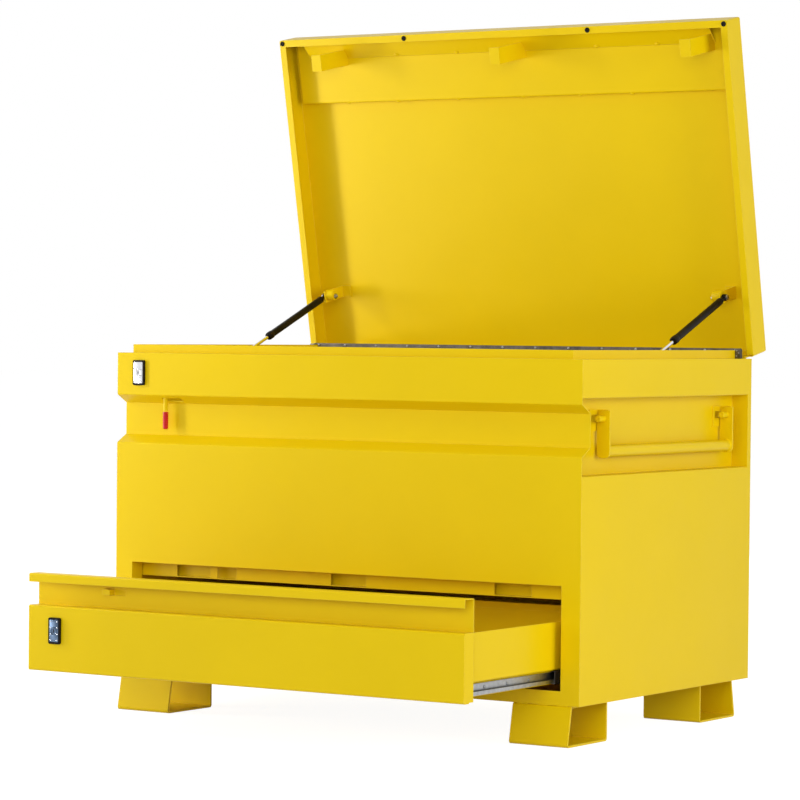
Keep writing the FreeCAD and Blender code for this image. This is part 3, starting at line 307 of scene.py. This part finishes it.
def new_piece(name, mesh_data, body, slot, place=None, sharp=32.0, finish=None):
    """Turn a bmesh into a piece that rides on a body, in the finish of its slot or another."""
    mesh = bpy.data.meshes.new(name)
    bmesh.ops.recalc_face_normals(mesh_data, faces=mesh_data.faces)
    if place is not None:
        bmesh.ops.transform(mesh_data, matrix=place, verts=mesh_data.verts)
    mesh_data.to_mesh(mesh)
    mesh_data.free()
    mesh.shade_smooth()
    mesh.set_sharp_from_angle(angle=math.radians(sharp))
    mesh.materials.append(finishes[finish or slot])
    item = add_object(name, mesh)
    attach(item, body)
    return item


def full_turn(steps):
    """Even angles round a circle."""
    return [2 * math.pi * step / steps for step in range(steps)]


def join_rings(data, first, second):
    """Bridge two rings of vertices; a ring of one vertex is a point on the axis."""
    count = max(len(first), len(second))
    for step in range(count):
        after = (step + 1) % count
        if len(first) == 1:
            data.faces.new((first[0], second[after], second[step]))
        elif len(second) == 1:
            data.faces.new((first[step], first[after], second[0]))
        else:
            data.faces.new((first[step], first[after], second[after], second[step]))


def close_rings(data, rings):
    """Bridge a row of rings and cap its two ends."""
    for first, second in zip(rings, rings[1:]):
        join_rings(data, first, second)
    data.faces.new(rings[0][::-1])
    data.faces.new(rings[-1])


def turned(data, profile, place, axis, steps=24):
    """A shape turned about an axis through a place, from its radii and heights."""
    turn = UP.rotation_difference(axis.normalized()).to_matrix()
    rings = []
    for radius, height in profile:
        angles = full_turn(steps) if radius else [0.0]
        spots = [Vector((radius * math.cos(a), radius * math.sin(a), height)) for a in angles]
        rings.append([data.verts.new(place + turn @ spot) for spot in spots])
    for first, second in zip(rings, rings[1:]):
        join_rings(data, first, second)


def swept(data, section, start, end, across, up):
    """A bar of one closed section from start to end."""
    close_rings(data, [[data.verts.new(base + across * a + up * b) for a, b in section]
                       for base in (start, end)])


def bead(data, start, end, out, radius):
    """A rippled weld bead laid from start to end, half sunk in what it joins."""
    pitch, ripple, flatness = 0.0042, 0.10, 0.75
    run = end - start
    count = max(6, int(run.length / pitch * 3))
    along = run.normalized()
    aside = along.cross(out).normalized()
    rise = aside.cross(along)
    rings = []
    for step in range(count + 1):
        share = step / count
        edge = min(share, 1 - share) * run.length / (radius * 1.5)
        size = radius * (math.sqrt(min(edge, 1.0)) * 0.9 + 0.1)
        wave = math.cos(2 * math.pi * share * run.length / pitch)
        size *= 1 + ripple * wave + rng.uniform(-0.04, 0.04)
        centre = start + run * share + aside * rng.uniform(-0.08, 0.08) * radius
        spots = [centre + aside * math.cos(a) * size + rise * math.sin(a) * size * flatness
                 for a in full_turn(8)]
        rings.append([data.verts.new(spot) for spot in spots])
    close_rings(data, rings)


def rounded_outline(width, height, radius):
    """Points round a rectangle with rounded corners, about its centre."""
    steps = 4
    points = []
    for corner, (side, end) in enumerate(((1, 1), (-1, 1), (-1, -1), (1, -1))):
        x = (width / 2 - radius) * side
        z = (height / 2 - radius) * end
        for step in range(steps + 1):
            angle = math.pi / 2 * (corner + step / steps)
            points.append((x + radius * math.cos(angle), z + radius * math.sin(angle)))
    return points


def domed(radius, height):
    """The profile of a rivet's head, with the small pit its mandrel leaves."""
    return [
        (radius, 0),
        (radius * 0.98, height * 0.25),
        (radius * 0.82, height * 0.62),
        (radius * 0.58, height * 0.88),
        (radius * 0.36, height),
        (radius * 0.28, height * 0.80),
        (0, height * 0.76),
    ]


# ---------------------------------------------------------------- locks

def make_lock_plate(prefix, body, finish, rivet_slot):
    """A bevelled plate with rounded corners, eight rivets and a raised ring round the plug."""
    low, high = corners(prefix + "_lock_plate")
    middle = (low + high) / 2
    width, height = high.x - low.x, high.z - low.z
    # The ring and the rivets stay within the CAD plate's depth.
    relief = 0.0009
    corner_radius, bevel_depth, bevel_inset = 0.0018, 0.0004, 0.0005
    face = low.y + relief
    outline = rounded_outline(width, height, corner_radius)
    plate = bmesh.new()
    rings = []
    for y, inset in ((high.y, 0.0), (face + bevel_depth, 0.0), (face, bevel_inset)):
        scale_x = 1 - 2 * inset / width
        scale_z = 1 - 2 * inset / height
        rings.append([plate.verts.new((middle.x + x * scale_x, y, middle.z + z * scale_z))
                      for x, z in outline])
    close_rings(plate, rings)
    plug = Vector(joints[prefix + "_lock_turn"]["pos_m"])
    ring = [(0.0081, -0.0004), (0.0081, 0.0005), (0.0084, 0.0008), (0.0090, 0.0006), (0.0093, 0.0)]
    turned(plate, ring, Vector((plug.x, face, plug.z)), AHEAD, 40)
    piece = new_piece(prefix + "_lock_face", plate, body, "chrome", finish=finish)
    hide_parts(prefix + "_lock_plate")

    columns = (-0.0088, 0.0088)
    rows = (-0.0200, -0.0068, 0.0068, 0.0200)
    head = domed(0.0016, 0.0008)
    rivets = bmesh.new()
    for x in columns:
        for z in rows:
            turned(rivets, head, Vector((middle.x + x, face, middle.z + z)), AHEAD, 14)
    new_piece(prefix + "_lock_rivets", rivets, body, rivet_slot)


def make_lock_plug(prefix, body, finish):
    """A turned plug with a rim and a stepped keyhole, and the cam behind it."""
    low, high = corners(prefix + "_lock_plug")
    plug = Vector(joints[prefix + "_lock_turn"]["pos_m"])
    depth = high.y - low.y
    profile = [
        (0, -0.0008), (0.0056, -0.0008), (0.0062, -0.0001), (0.0070, 0.0), (0.0077, -0.0005),
        (0.0079, -0.0012), (0.0079, -depth), (0, -depth),
    ]
    data = bmesh.new()
    turned(data, profile, Vector((plug.x, low.y, plug.z)), AHEAD, 40)
    tip = low.z - plug.z
    cam = [(-0.006, tip + 0.002), (-0.004, tip), (0.004, tip), (0.006, tip + 0.002),
           (0.0075, 0.0), (-0.0075, 0.0)]
    cam_front = Vector((plug.x, high.y - sheet, plug.z))
    swept(data, cam, cam_front, Vector((plug.x, high.y, plug.z)), RIGHT, UP)
    piece = new_piece(prefix + "_turned_plug", data, body, "chrome", finish=finish)
    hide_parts(prefix + "_lock_plug")

    # The keyhole is a thin black slab on the plug's face: painted shade for the hole.
    keyhole = [
        (-0.0008, -0.0044), (0.0008, -0.0044), (0.0008, -0.0012), (0.0016, -0.0006),
        (0.0016, 0.0010), (0.0007, 0.0016), (0.0007, 0.0044), (-0.0009, 0.0044),
        (-0.0009, 0.0010), (-0.0015, 0.0004), (-0.0015, -0.0010), (-0.0008, -0.0016),
    ]
    back, front = 0.0012, 0.0007
    slit = bmesh.new()
    swept(slit, keyhole, Vector((plug.x, low.y + back, plug.z)),
          Vector((plug.x, low.y + front, plug.z)), RIGHT, UP)
    new_piece(prefix + "_keyhole", slit, body, "black_steel")


make_lock_plate("lid", "cabinet", "chrome", "zinc_steel")
# The drawer's lock takes chrome with a painted bluish reflection.
make_lock_plate("drawer", "drawer", "blue_reflection_chrome", "chrome")
make_lock_plug("lid", "lid_lock_core", "chrome")
make_lock_plug("drawer", "drawer_lock_core", "blue_reflection_chrome")


# ---------------------------------------------------------------- strip behind the mouth

def make_strip_rivets():
    """A row of rivets along the strip, evenly spaced but for the outermost pair."""
    high = corners("rear_lip_strip")[1]
    face_y = high.y - sheet
    first, pitch, count, outermost, drop = 0.045, 0.090, 6, 0.573, 0.0045
    head = domed(0.0032, 0.0014)
    rivets = bmesh.new()
    for x in [first + pitch * step for step in range(count)] + [outermost]:
        for side in (-1, 1):
            turned(rivets, head, Vector((side * x, face_y, high.z - drop)), AHEAD, 18)
    new_piece("lip_strip_rivets", rivets, "cabinet", "zinc_steel")


def make_strip_ends():
    """A ribbed dark block over each end of the strip, held by three screws; its darkness is
    painted shade for the strip's shadowed ends.
    """
    face_y = corners("rear_lip_strip")[1].y - sheet
    inset = 0.0312
    start_x = side_x - inset
    ribs, pitch, gap, lift = 4, 0.0030, 0.0006, 0.0004
    rib = [
        (0.0, 0.0005), (0.0118, 0.0005), (0.0124, 0.0011), (0.0124, 0.0205),
        (0.0112, 0.0217), (0.0012, 0.0217), (0.0, 0.0205),
    ]
    core_share, core_x, core_z = 0.94, 0.0003, 0.0008
    core_lift, core_length = 0.0002, pitch * ribs - 0.0008
    core = [(a * core_share + core_x, core_z + b * core_share) for a, b in rib]
    screw_head = domed(0.0019, 0.0010)
    blocks = bmesh.new()
    screws = bmesh.new()
    for side in (-1, 1):
        across = RIGHT * side
        for step in range(ribs):
            base = Vector((side * start_x, face_y - lift - step * pitch, top_z))
            swept(blocks, rib, base, base + AHEAD * (pitch - gap), across, UP)
        base = Vector((side * start_x, face_y - core_lift, top_z))
        swept(blocks, core, base, base + AHEAD * core_length, across, UP)
        screw_y = face_y - lift - pitch * ribs + gap
        for a, b in ((0.0034, 0.0060), (0.0090, 0.0125), (0.0040, 0.0180)):
            place = Vector((side * (start_x + a), screw_y, top_z + b))
            turned(screws, screw_head, place, AHEAD, 12)
    new_piece("lip_strip_ends", blocks, "cabinet", "zinc_steel", finish="shade_darkened_zinc")
    new_piece("lip_strip_end_screws", screws, "cabinet", "zinc_steel")


make_strip_rivets()
make_strip_ends()


# ---------------------------------------------------------------- latch lever's grip

def make_grip():
    """A dipped sleeve with ribs for the fingers and a rounded end."""
    low, high = corners("lever_grip")
    middle = (low + high) / 2
    length = 0.039
    groove, shoulder, radius = 0.0056, 0.0060, 0.0064
    ribs, first, pitch = 7, 0.0050, 0.0042
    profile = [(0, 0), (0.0030, 0.0001), (0.0046, 0.0008), (groove, 0.0022), (shoulder, 0.0042)]
    for rib in range(ribs):
        base = first + rib * pitch
        profile += [(groove, base), (shoulder, base + 0.0006), (radius, base + 0.0014),
                    (radius, base + 0.0028), (shoulder, base + 0.0036)]
    profile += [(groove, 0.0344), (radius, 0.0354), (radius, length - 0.0008),
                (shoulder, length - 0.0001), (0.0049, length - 0.0001)]
    data = bmesh.new()
    turned(data, profile, Vector((middle.x, middle.y, low.z)), UP, 32)
    piece = new_piece("ribbed_lever_grip", data, "lid_latch", "red_vinyl", sharp=60.0)
    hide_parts("lever_grip")


make_grip()


# ---------------------------------------------------------------- lid bumpers

def make_bumpers():
    """Rubber buttons with a rounded rim and a hollow where the screw sits."""
    profile = [
        (0.0059, 0), (0.0060, 0.0007), (0.0058, 0.0017), (0.0051, 0.0026), (0.0041, 0.0029),
        (0.0028, 0.0029), (0.0022, 0.0024), (0.0020, 0.0014), (0, 0.0013),
    ]
    inner_x = 0.250
    outer_x = lid_x - lid_flange / 2
    data = bmesh.new()
    for x in (-outer_x, -inner_x, inner_x, outer_x):
        place = Vector((x, lid_front_y + lid_flange / 2, lid_rim_z))
        turned(data, profile, place, DOWN, 28)
    piece = new_piece("round_lid_bumpers", data, "lid", "rubber", place=lid_open, sharp=60.0)
    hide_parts("lid_bumpers")


make_bumpers()


# ---------------------------------------------------------------- side handles

def make_handle(side):
    """Pins with chamfered heads, and the welds between the grip tube and its arms."""
    swing = Vector(joints[side + "_handle_swing"]["pos_m"])
    arm_low, arm_high = corners(side + "_handle_arms")
    tube_low, tube_high = corners(side + "_handle_tube")
    arm_depth = 0.0045
    back = 0.0078
    shank, head, length = 0.005, 0.007, 0.025
    start = back + 0.0003
    end = start + length
    profile = [
        (0, 0.0002), (shank * 0.9, 0.0002), (shank, 0.0008), (shank, start),
        (head - 0.0004, start), (head, start + 0.0005), (head, end - 0.0014),
        (head - 0.0013, end - 0.0002), (0.0016, end - 0.0002), (0.0012, end - 0.0007),
        (0, end - 0.0008),
    ]
    pins = bmesh.new()
    for arm_y in (arm_low.y, arm_high.y - arm_depth):
        turned(pins, profile, Vector((swing.x, arm_y + back, swing.z)), AHEAD, 32)
    piece = new_piece(side + "_hinge_pins", pins, "cabinet", "yellow_paint")
    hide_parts(side + "_handle_pins")

    fillet = [(0.0126, 0.0026), (0.0132, 0.0013), (0.0142, 0.0006), (0.0154, -0.0002)]
    centre_z = (tube_low.z + tube_high.z) / 2
    welds = bmesh.new()
    turned(welds, fillet, Vector((swing.x, tube_low.y, centre_z)), BEHIND, 36)
    turned(welds, fillet, Vector((swing.x, tube_high.y, centre_z)), AHEAD, 36)
    new_piece(side + "_handle_welds", welds, side + "_handle", "yellow_paint")


make_handle("right")
make_handle("left")


# ---------------------------------------------------------------- gas struts

def make_strut(side, sign):
    """The strut's tube with its eye, crimped band and collar, and the mount's boss on the lid."""
    pivot = Vector(joints[side + "_strut_pivot"]["pos_m"])
    along = -Vector(joints[side + "_strut_stroke"]["axis"])
    inboard = LEFT * sign
    radius = 0.0083
    crimp = radius - 0.0007
    collar = radius + 0.0012
    tube = [
        (0, 0.0210), (0.0058, 0.0210), (radius - 0.0010, 0.0222), (radius, 0.0236),
        (radius, 0.0260), (crimp, 0.0268), (crimp, 0.0278), (radius, 0.0286), (radius, 0.2440),
        (radius + 0.0006, 0.2448), (collar, 0.2465), (collar, 0.2575), (radius + 0.0004, 0.2608),
        (0.0070, 0.2620), (0.0046, 0.2620), (0.0044, 0.2560),
    ]
    neck = [(0.0042, 0.0060), (0.0050, 0.0075), (0.0050, 0.0190), (0.0058, 0.0205),
            (0.0058, 0.0215)]
    eye = [(0.0041, -0.0045), (0.0072, -0.0045), (0.0080, -0.0037), (0.0080, 0.0037),
           (0.0072, 0.0045), (0.0041, 0.0045), (0.0041, -0.0045)]
    data = bmesh.new()
    turned(data, tube, pivot, along, 32)
    turned(data, neck, pivot, along, 24)
    turned(data, eye, pivot, RIGHT, 32)
    piece = new_piece(side + "_strut_barrel", data, side + "_strut_tube", "black_steel")
    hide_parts(side + "_strut_cylinder")

    # The boss sits a little above the bolt, as in the photograph.
    boss_lift = 0.003
    barrel = [(0, 0.0048), (0.0118, 0.0048), (0.0130, 0.0062), (0.0130, 0.0260),
              (0.0120, 0.0278), (0, 0.0278)]
    boss = bmesh.new()
    turned(boss, barrel, pivot + UP * boss_lift, inboard, 32)
    new_piece(side + "_strut_boss", boss, "lid", "yellow_paint")

    hexagon = [(0, 0.0270), (0.0065, 0.0270), (0.0068, 0.0276), (0.0068, 0.0312),
               (0.0058, 0.0320), (0, 0.0320)]
    bolt_end = 0.0318
    nut = bmesh.new()
    turned(nut, hexagon, pivot, inboard, 6)
    turned(nut, domed(0.0040, 0.0030), pivot + inboard * bolt_end, inboard, 16)
    new_piece(side + "_strut_nut", nut, "lid", "zinc_steel", sharp=20.0)


make_strut("right", 1)
make_strut("left", -1)


# ---------------------------------------------------------------- continuous hinge

def make_hinge_leaf(name, node, body, first, direction, place):
    """One riveted leaf: it has every second of the rolled knuckles along the pin."""
    low, high = corners("hinge_pin")
    count = 39
    pitch = (high.x - low.x) / count
    radius, bore, gap, chamfer = 0.0054, 0.0031, 0.0003, 0.0005
    leaf, edge = 0.002, 0.0006
    clear, reach, tab_outer, tab_inner = 0.0063, 0.034, 0.0042, 0.0034
    near = hinge.z + direction * clear
    far = hinge.z + direction * reach
    outer_y = rear_y + leaf
    section = [(rear_y, near), (outer_y, near), (outer_y, far - direction * edge),
               (outer_y - edge, far), (rear_y, far)]
    tab = [(rear_y, near), (outer_y, near), (outer_y, hinge.z + direction * tab_outer),
           (rear_y, hinge.z + direction * tab_inner)]
    data = bmesh.new()
    swept(data, section, Vector((low.x, 0, 0)), Vector((high.x, 0, 0)), BEHIND, UP)
    for index in range(first, count, 2):
        start = low.x + pitch * index + gap
        end = start + pitch - gap * 2
        length = end - start
        knuckle = [(bore, 0), (radius - chamfer, 0), (radius, chamfer),
                   (radius, length - chamfer), (radius - chamfer, length), (bore, length)]
        turned(data, knuckle, Vector((start, hinge.y, hinge.z)), RIGHT, 20)
        swept(data, tab, Vector((start, 0, 0)), Vector((end, 0, 0)), BEHIND, UP)
    piece = new_piece("knuckled_%s_leaf" % name, data, body, "yellow_paint", place=place)
    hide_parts(node)

    rivet_count, rivet_pitch, rivet_row = 13, 0.094, 0.023
    head = domed(0.0036, 0.0012)
    rivets = bmesh.new()
    for step in range(rivet_count):
        x = (step - rivet_count // 2) * rivet_pitch
        spot = Vector((x, outer_y, hinge.z + direction * rivet_row))
        turned(rivets, head, spot, BEHIND, 16)
    new_piece("hinge_%s_rivets" % name, rivets, body, "zinc_steel", place=place)


make_hinge_leaf("fixed", "hinge_fixed_leaf", "cabinet", 0, -1, None)
make_hinge_leaf("moving", "hinge_moving_leaf", "lid", 1, 1, lid_open)


# ---------------------------------------------------------------- drawer slides

def make_slide(side, sign):
    """The drawer's member with rolled lips and the screws that hold it to the tray."""
    low, high = corners(side + "_slide_inner")
    steel, edge, lip, lip_crown = 0.0014, 0.0006, 0.0078, 0.0083
    depth, length, height = high.x - low.x, high.y - low.y, high.z - low.z
    upper_lip = depth * 0.45
    web_x = low.x if sign > 0 else high.x
    section = [
        (0, 0), (depth - edge, 0), (depth, edge), (depth, lip),
        (depth - steel * 0.5, lip_crown), (depth - steel, lip), (depth - steel, steel),
        (steel, steel), (steel, height - steel), (upper_lip, height - steel),
        (upper_lip, height), (0, height),
    ]
    data = bmesh.new()
    swept(data, section, Vector((web_x, low.y, low.z)), Vector((web_x, high.y, low.z)),
          RIGHT * sign, UP)
    piece = new_piece(side + "_rolled_slide", data, "drawer", "zinc_steel")
    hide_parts(side + "_slide_inner")

    head = [(0.0034, 0), (0.0034, 0.0006), (0.0030, 0.0012), (0.0014, 0.0015),
            (0.0011, 0.0010), (0, 0.0010)]
    screw_z = low.z + height * 0.60
    screws = bmesh.new()
    for share in (0.04, 0.20, 0.36, 0.52, 0.80):
        place = Vector((web_x + sign * steel, low.y + length * share, screw_z))
        turned(screws, head, place, RIGHT * sign, 18)
    new_piece(side + "_slide_screws", screws, "drawer", "zinc_steel")


make_slide("right", 1)
make_slide("left", -1)


# ---------------------------------------------------------------- tray

def make_tray_hem():
    """The tray's rear wall is turned up higher than its sides and hemmed."""
    high = corners("drawer_tray")[1]
    half = high.x - 0.0005
    hem, rise, turned_down, edge = 0.0019, 0.0145, 0.010, 0.0006
    section = [
        (0, 0), (sheet, 0), (sheet, rise - turned_down), (sheet + hem, rise - turned_down),
        (sheet + hem, rise - edge), (sheet + hem - edge, rise), (edge, rise), (0, rise - edge),
    ]
    base = Vector((-half, high.y - sheet, high.z))
    data = bmesh.new()
    swept(data, section, base, base + RIGHT * half * 2, BEHIND, UP)
    new_piece("tray_rear_hem", data, "drawer", "yellow_paint")


make_tray_hem()


# ---------------------------------------------------------------- welds

def make_lid_welds():
    """Tacks along the front box and the stiffener, where they meet the sheet behind them."""
    front_box = (
        (-0.303, -0.134, 0.036, 0.246, 0.405), front_box_y - 0.0040, stiffener_z - 0.0030,
        (0.0062, 0.0078), Vector((0, 0.35, -0.94)), 0.0062)
    stiffener = (
        (-0.456, -0.314, -0.144, 0.035, 0.189, 0.327), stiffener_y + 0.0002, stiffener_z + 0.0028,
        (0.0046, 0.0060), Vector((0, 1.0, -0.25)), 0.0044)
    data = bmesh.new()
    for spots, y, z, half_lengths, out, radius in (front_box, stiffener):
        for x in spots:
            place = Vector((x, y, z))
            half = RIGHT * rng.uniform(*half_lengths)
            bead(data, place - half, place + half, out, radius)
    new_piece("lid_tack_welds", data, "lid", "yellow_paint", place=lid_open, sharp=80.0)


def make_foot_welds():
    """Three beads ahead of each foot and three behind it, where it meets the base."""
    splay, half, radius = 0.016, 0.014, 0.0024
    data = bmesh.new()
    for end in ("front", "rear"):
        for side in ("left", "right"):
            low, high = corners("%s_%s_foot" % (end, side))
            near_y = low.y + splay if end == "front" else low.y
            far_y = high.y if end == "front" else high.y - splay
            for y, out in ((near_y, AHEAD), (far_y, BEHIND)):
                for share in (0.16, 0.50, 0.84):
                    centre = Vector((low.x + (high.x - low.x) * share, y, base_z))
                    bead(data, centre + LEFT * half, centre + RIGHT * half, out + DOWN, radius)
    new_piece("foot_welds", data, "cabinet", "yellow_paint", sharp=80.0)


make_lid_welds()
make_foot_welds()


# ---------------------------------------------------------------- stage, camera and lamps

def make_camera():
    """A long lens set where straight edges of the box run as the photographer saw them."""
    focal_pixels, photo_pixels, sensor = 3404.93, 800.0, 36.0
    place = (4.15611, -6.48939, 0.86886)
    yaw, pitch, roll = (math.radians(angle) for angle in (33.12, -1.19, 0.57))
    forward = Vector((
        -math.sin(yaw) * math.cos(pitch), math.cos(yaw) * math.cos(pitch), math.sin(pitch)))
    right = forward.cross(UP).normalized()
    up = right.cross(forward)
    right_rolled = right * math.cos(roll) + up * math.sin(roll)
    up_rolled = up * math.cos(roll) - right * math.sin(roll)
    turn = Matrix((right_rolled, up_rolled, -forward)).transposed().to_4x4()
    data = bpy.data.cameras.new("camera")
    data.sensor_width = sensor
    data.lens = sensor * focal_pixels / photo_pixels
    data.clip_end = 200.0
    camera = add_object("camera", data)
    camera.matrix_world = Matrix.Translation(place) @ turn
    bpy.context.scene.camera = camera


def make_lamp(name, place, target, width, height, power, mirrored=False):
    """A soft box; the large ones light the paint without a glare of their own shape on it."""
    data = bpy.data.lights.new(name, "AREA")
    data.shape = "RECTANGLE"
    data.size = width
    data.size_y = height
    data.energy = power
    lamp = add_object(name, data)
    lamp.visible_glossy = mirrored
    lamp.location = place
    lamp.rotation_euler = (Vector(target) - Vector(place)).to_track_quat("-Z", "Y").to_euler()


def seen_directly(tree):
    """1 for what the camera, a mirror or a window sees, 0 for what lights other surfaces."""
    path = tree.nodes.new("ShaderNodeLightPath")
    total = path.outputs["Is Camera Ray"]
    for name in ("Is Glossy Ray", "Is Transmission Ray"):
        add = tree.nodes.new("ShaderNodeMath")
        add.operation = "MAXIMUM"
        tree.links.new(total, add.inputs[0])
        tree.links.new(path.outputs[name], add.inputs[1])
        total = add.outputs["Value"]
    return total


def make_world(ambient):
    """A white surround that lights the object far less than it shows."""
    world = bpy.data.worlds.new("studio")
    bpy.context.scene.world = world
    world.use_nodes = True
    tree = world.node_tree
    background = tree.nodes["Background"]
    background.inputs["Color"].default_value = (1, 1, 1, 1)
    strength = tree.nodes.new("ShaderNodeMapRange")
    strength.inputs["To Min"].default_value = ambient
    strength.inputs["To Max"].default_value = 1.0
    tree.links.new(seen_directly(tree), strength.inputs["Value"])
    tree.links.new(strength.outputs["Result"], background.inputs["Strength"])


def make_floor():
    """A pale floor that the camera sees as white, apart from the object's own soft shadow."""
    reach, drop = 40.0, 0.0005
    lit_grey, shadow_grey, glow_strength = 0.72, 0.30, 0.925
    square = [(-reach, -reach, 0), (reach, -reach, 0), (reach, reach, 0), (-reach, reach, 0)]
    mesh = bpy.data.meshes.new("floor")
    mesh.from_pydata(square, [], [(0, 1, 2, 3)])
    floor = add_object("floor", mesh)
    floor.location.z = -drop
    material = bpy.data.materials.new("floor")
    material.use_nodes = True
    tree = material.node_tree
    tree.nodes.clear()
    output = tree.nodes.new("ShaderNodeOutputMaterial")
    lit = tree.nodes.new("ShaderNodeBsdfDiffuse")
    lit.inputs["Color"].default_value = (lit_grey, lit_grey, lit_grey, 1)
    shadow = tree.nodes.new("ShaderNodeBsdfDiffuse")
    shadow.inputs["Color"].default_value = (shadow_grey, shadow_grey, shadow_grey, 1)
    glow = tree.nodes.new("ShaderNodeEmission")
    glow.inputs["Strength"].default_value = glow_strength
    both = tree.nodes.new("ShaderNodeAddShader")
    tree.links.new(shadow.outputs["BSDF"], both.inputs[0])
    tree.links.new(glow.outputs["Emission"], both.inputs[1])
    mixed = tree.nodes.new("ShaderNodeMixShader")
    tree.links.new(seen_directly(tree), mixed.inputs["Fac"])
    tree.links.new(lit.outputs["BSDF"], mixed.inputs[1])
    tree.links.new(both.outputs["Shader"], mixed.inputs[2])
    tree.links.new(mixed.outputs["Shader"], output.inputs["Surface"])
    mesh.materials.append(material)


make_camera()
make_world(ambient=0.26)
make_floor()
make_lamp("left_strip", (-2.25, -1.10, 1.15), (-0.1, 0.0, 0.9), 0.22, 1.5, 34, mirrored=True)
make_lamp("left_low", (-4.0, -2.6, 0.5), (0, 0, 0.5), 1.6, 0.7, 32, mirrored=True)
make_lamp("front_soft", (2.2, -4.6, 1.6), (0.1, 0, 0.8), 3.0, 2.0, 91)
make_lamp("right_soft", (4.7, -0.5, 1.4), (0.4, 0, 0.5), 2.4, 2.0, 94)
make_lamp("rear_soft", (-1.6, 5.0, 2.2), (0, 0, 0.7), 5.0, 3.6, 165)
make_lamp("top_soft", (0.3, -1.3, 4.6), (0, 0, 0.8), 3.0, 3.0, 26)

scene = bpy.context.scene
scene.view_settings.view_transform = "Standard"
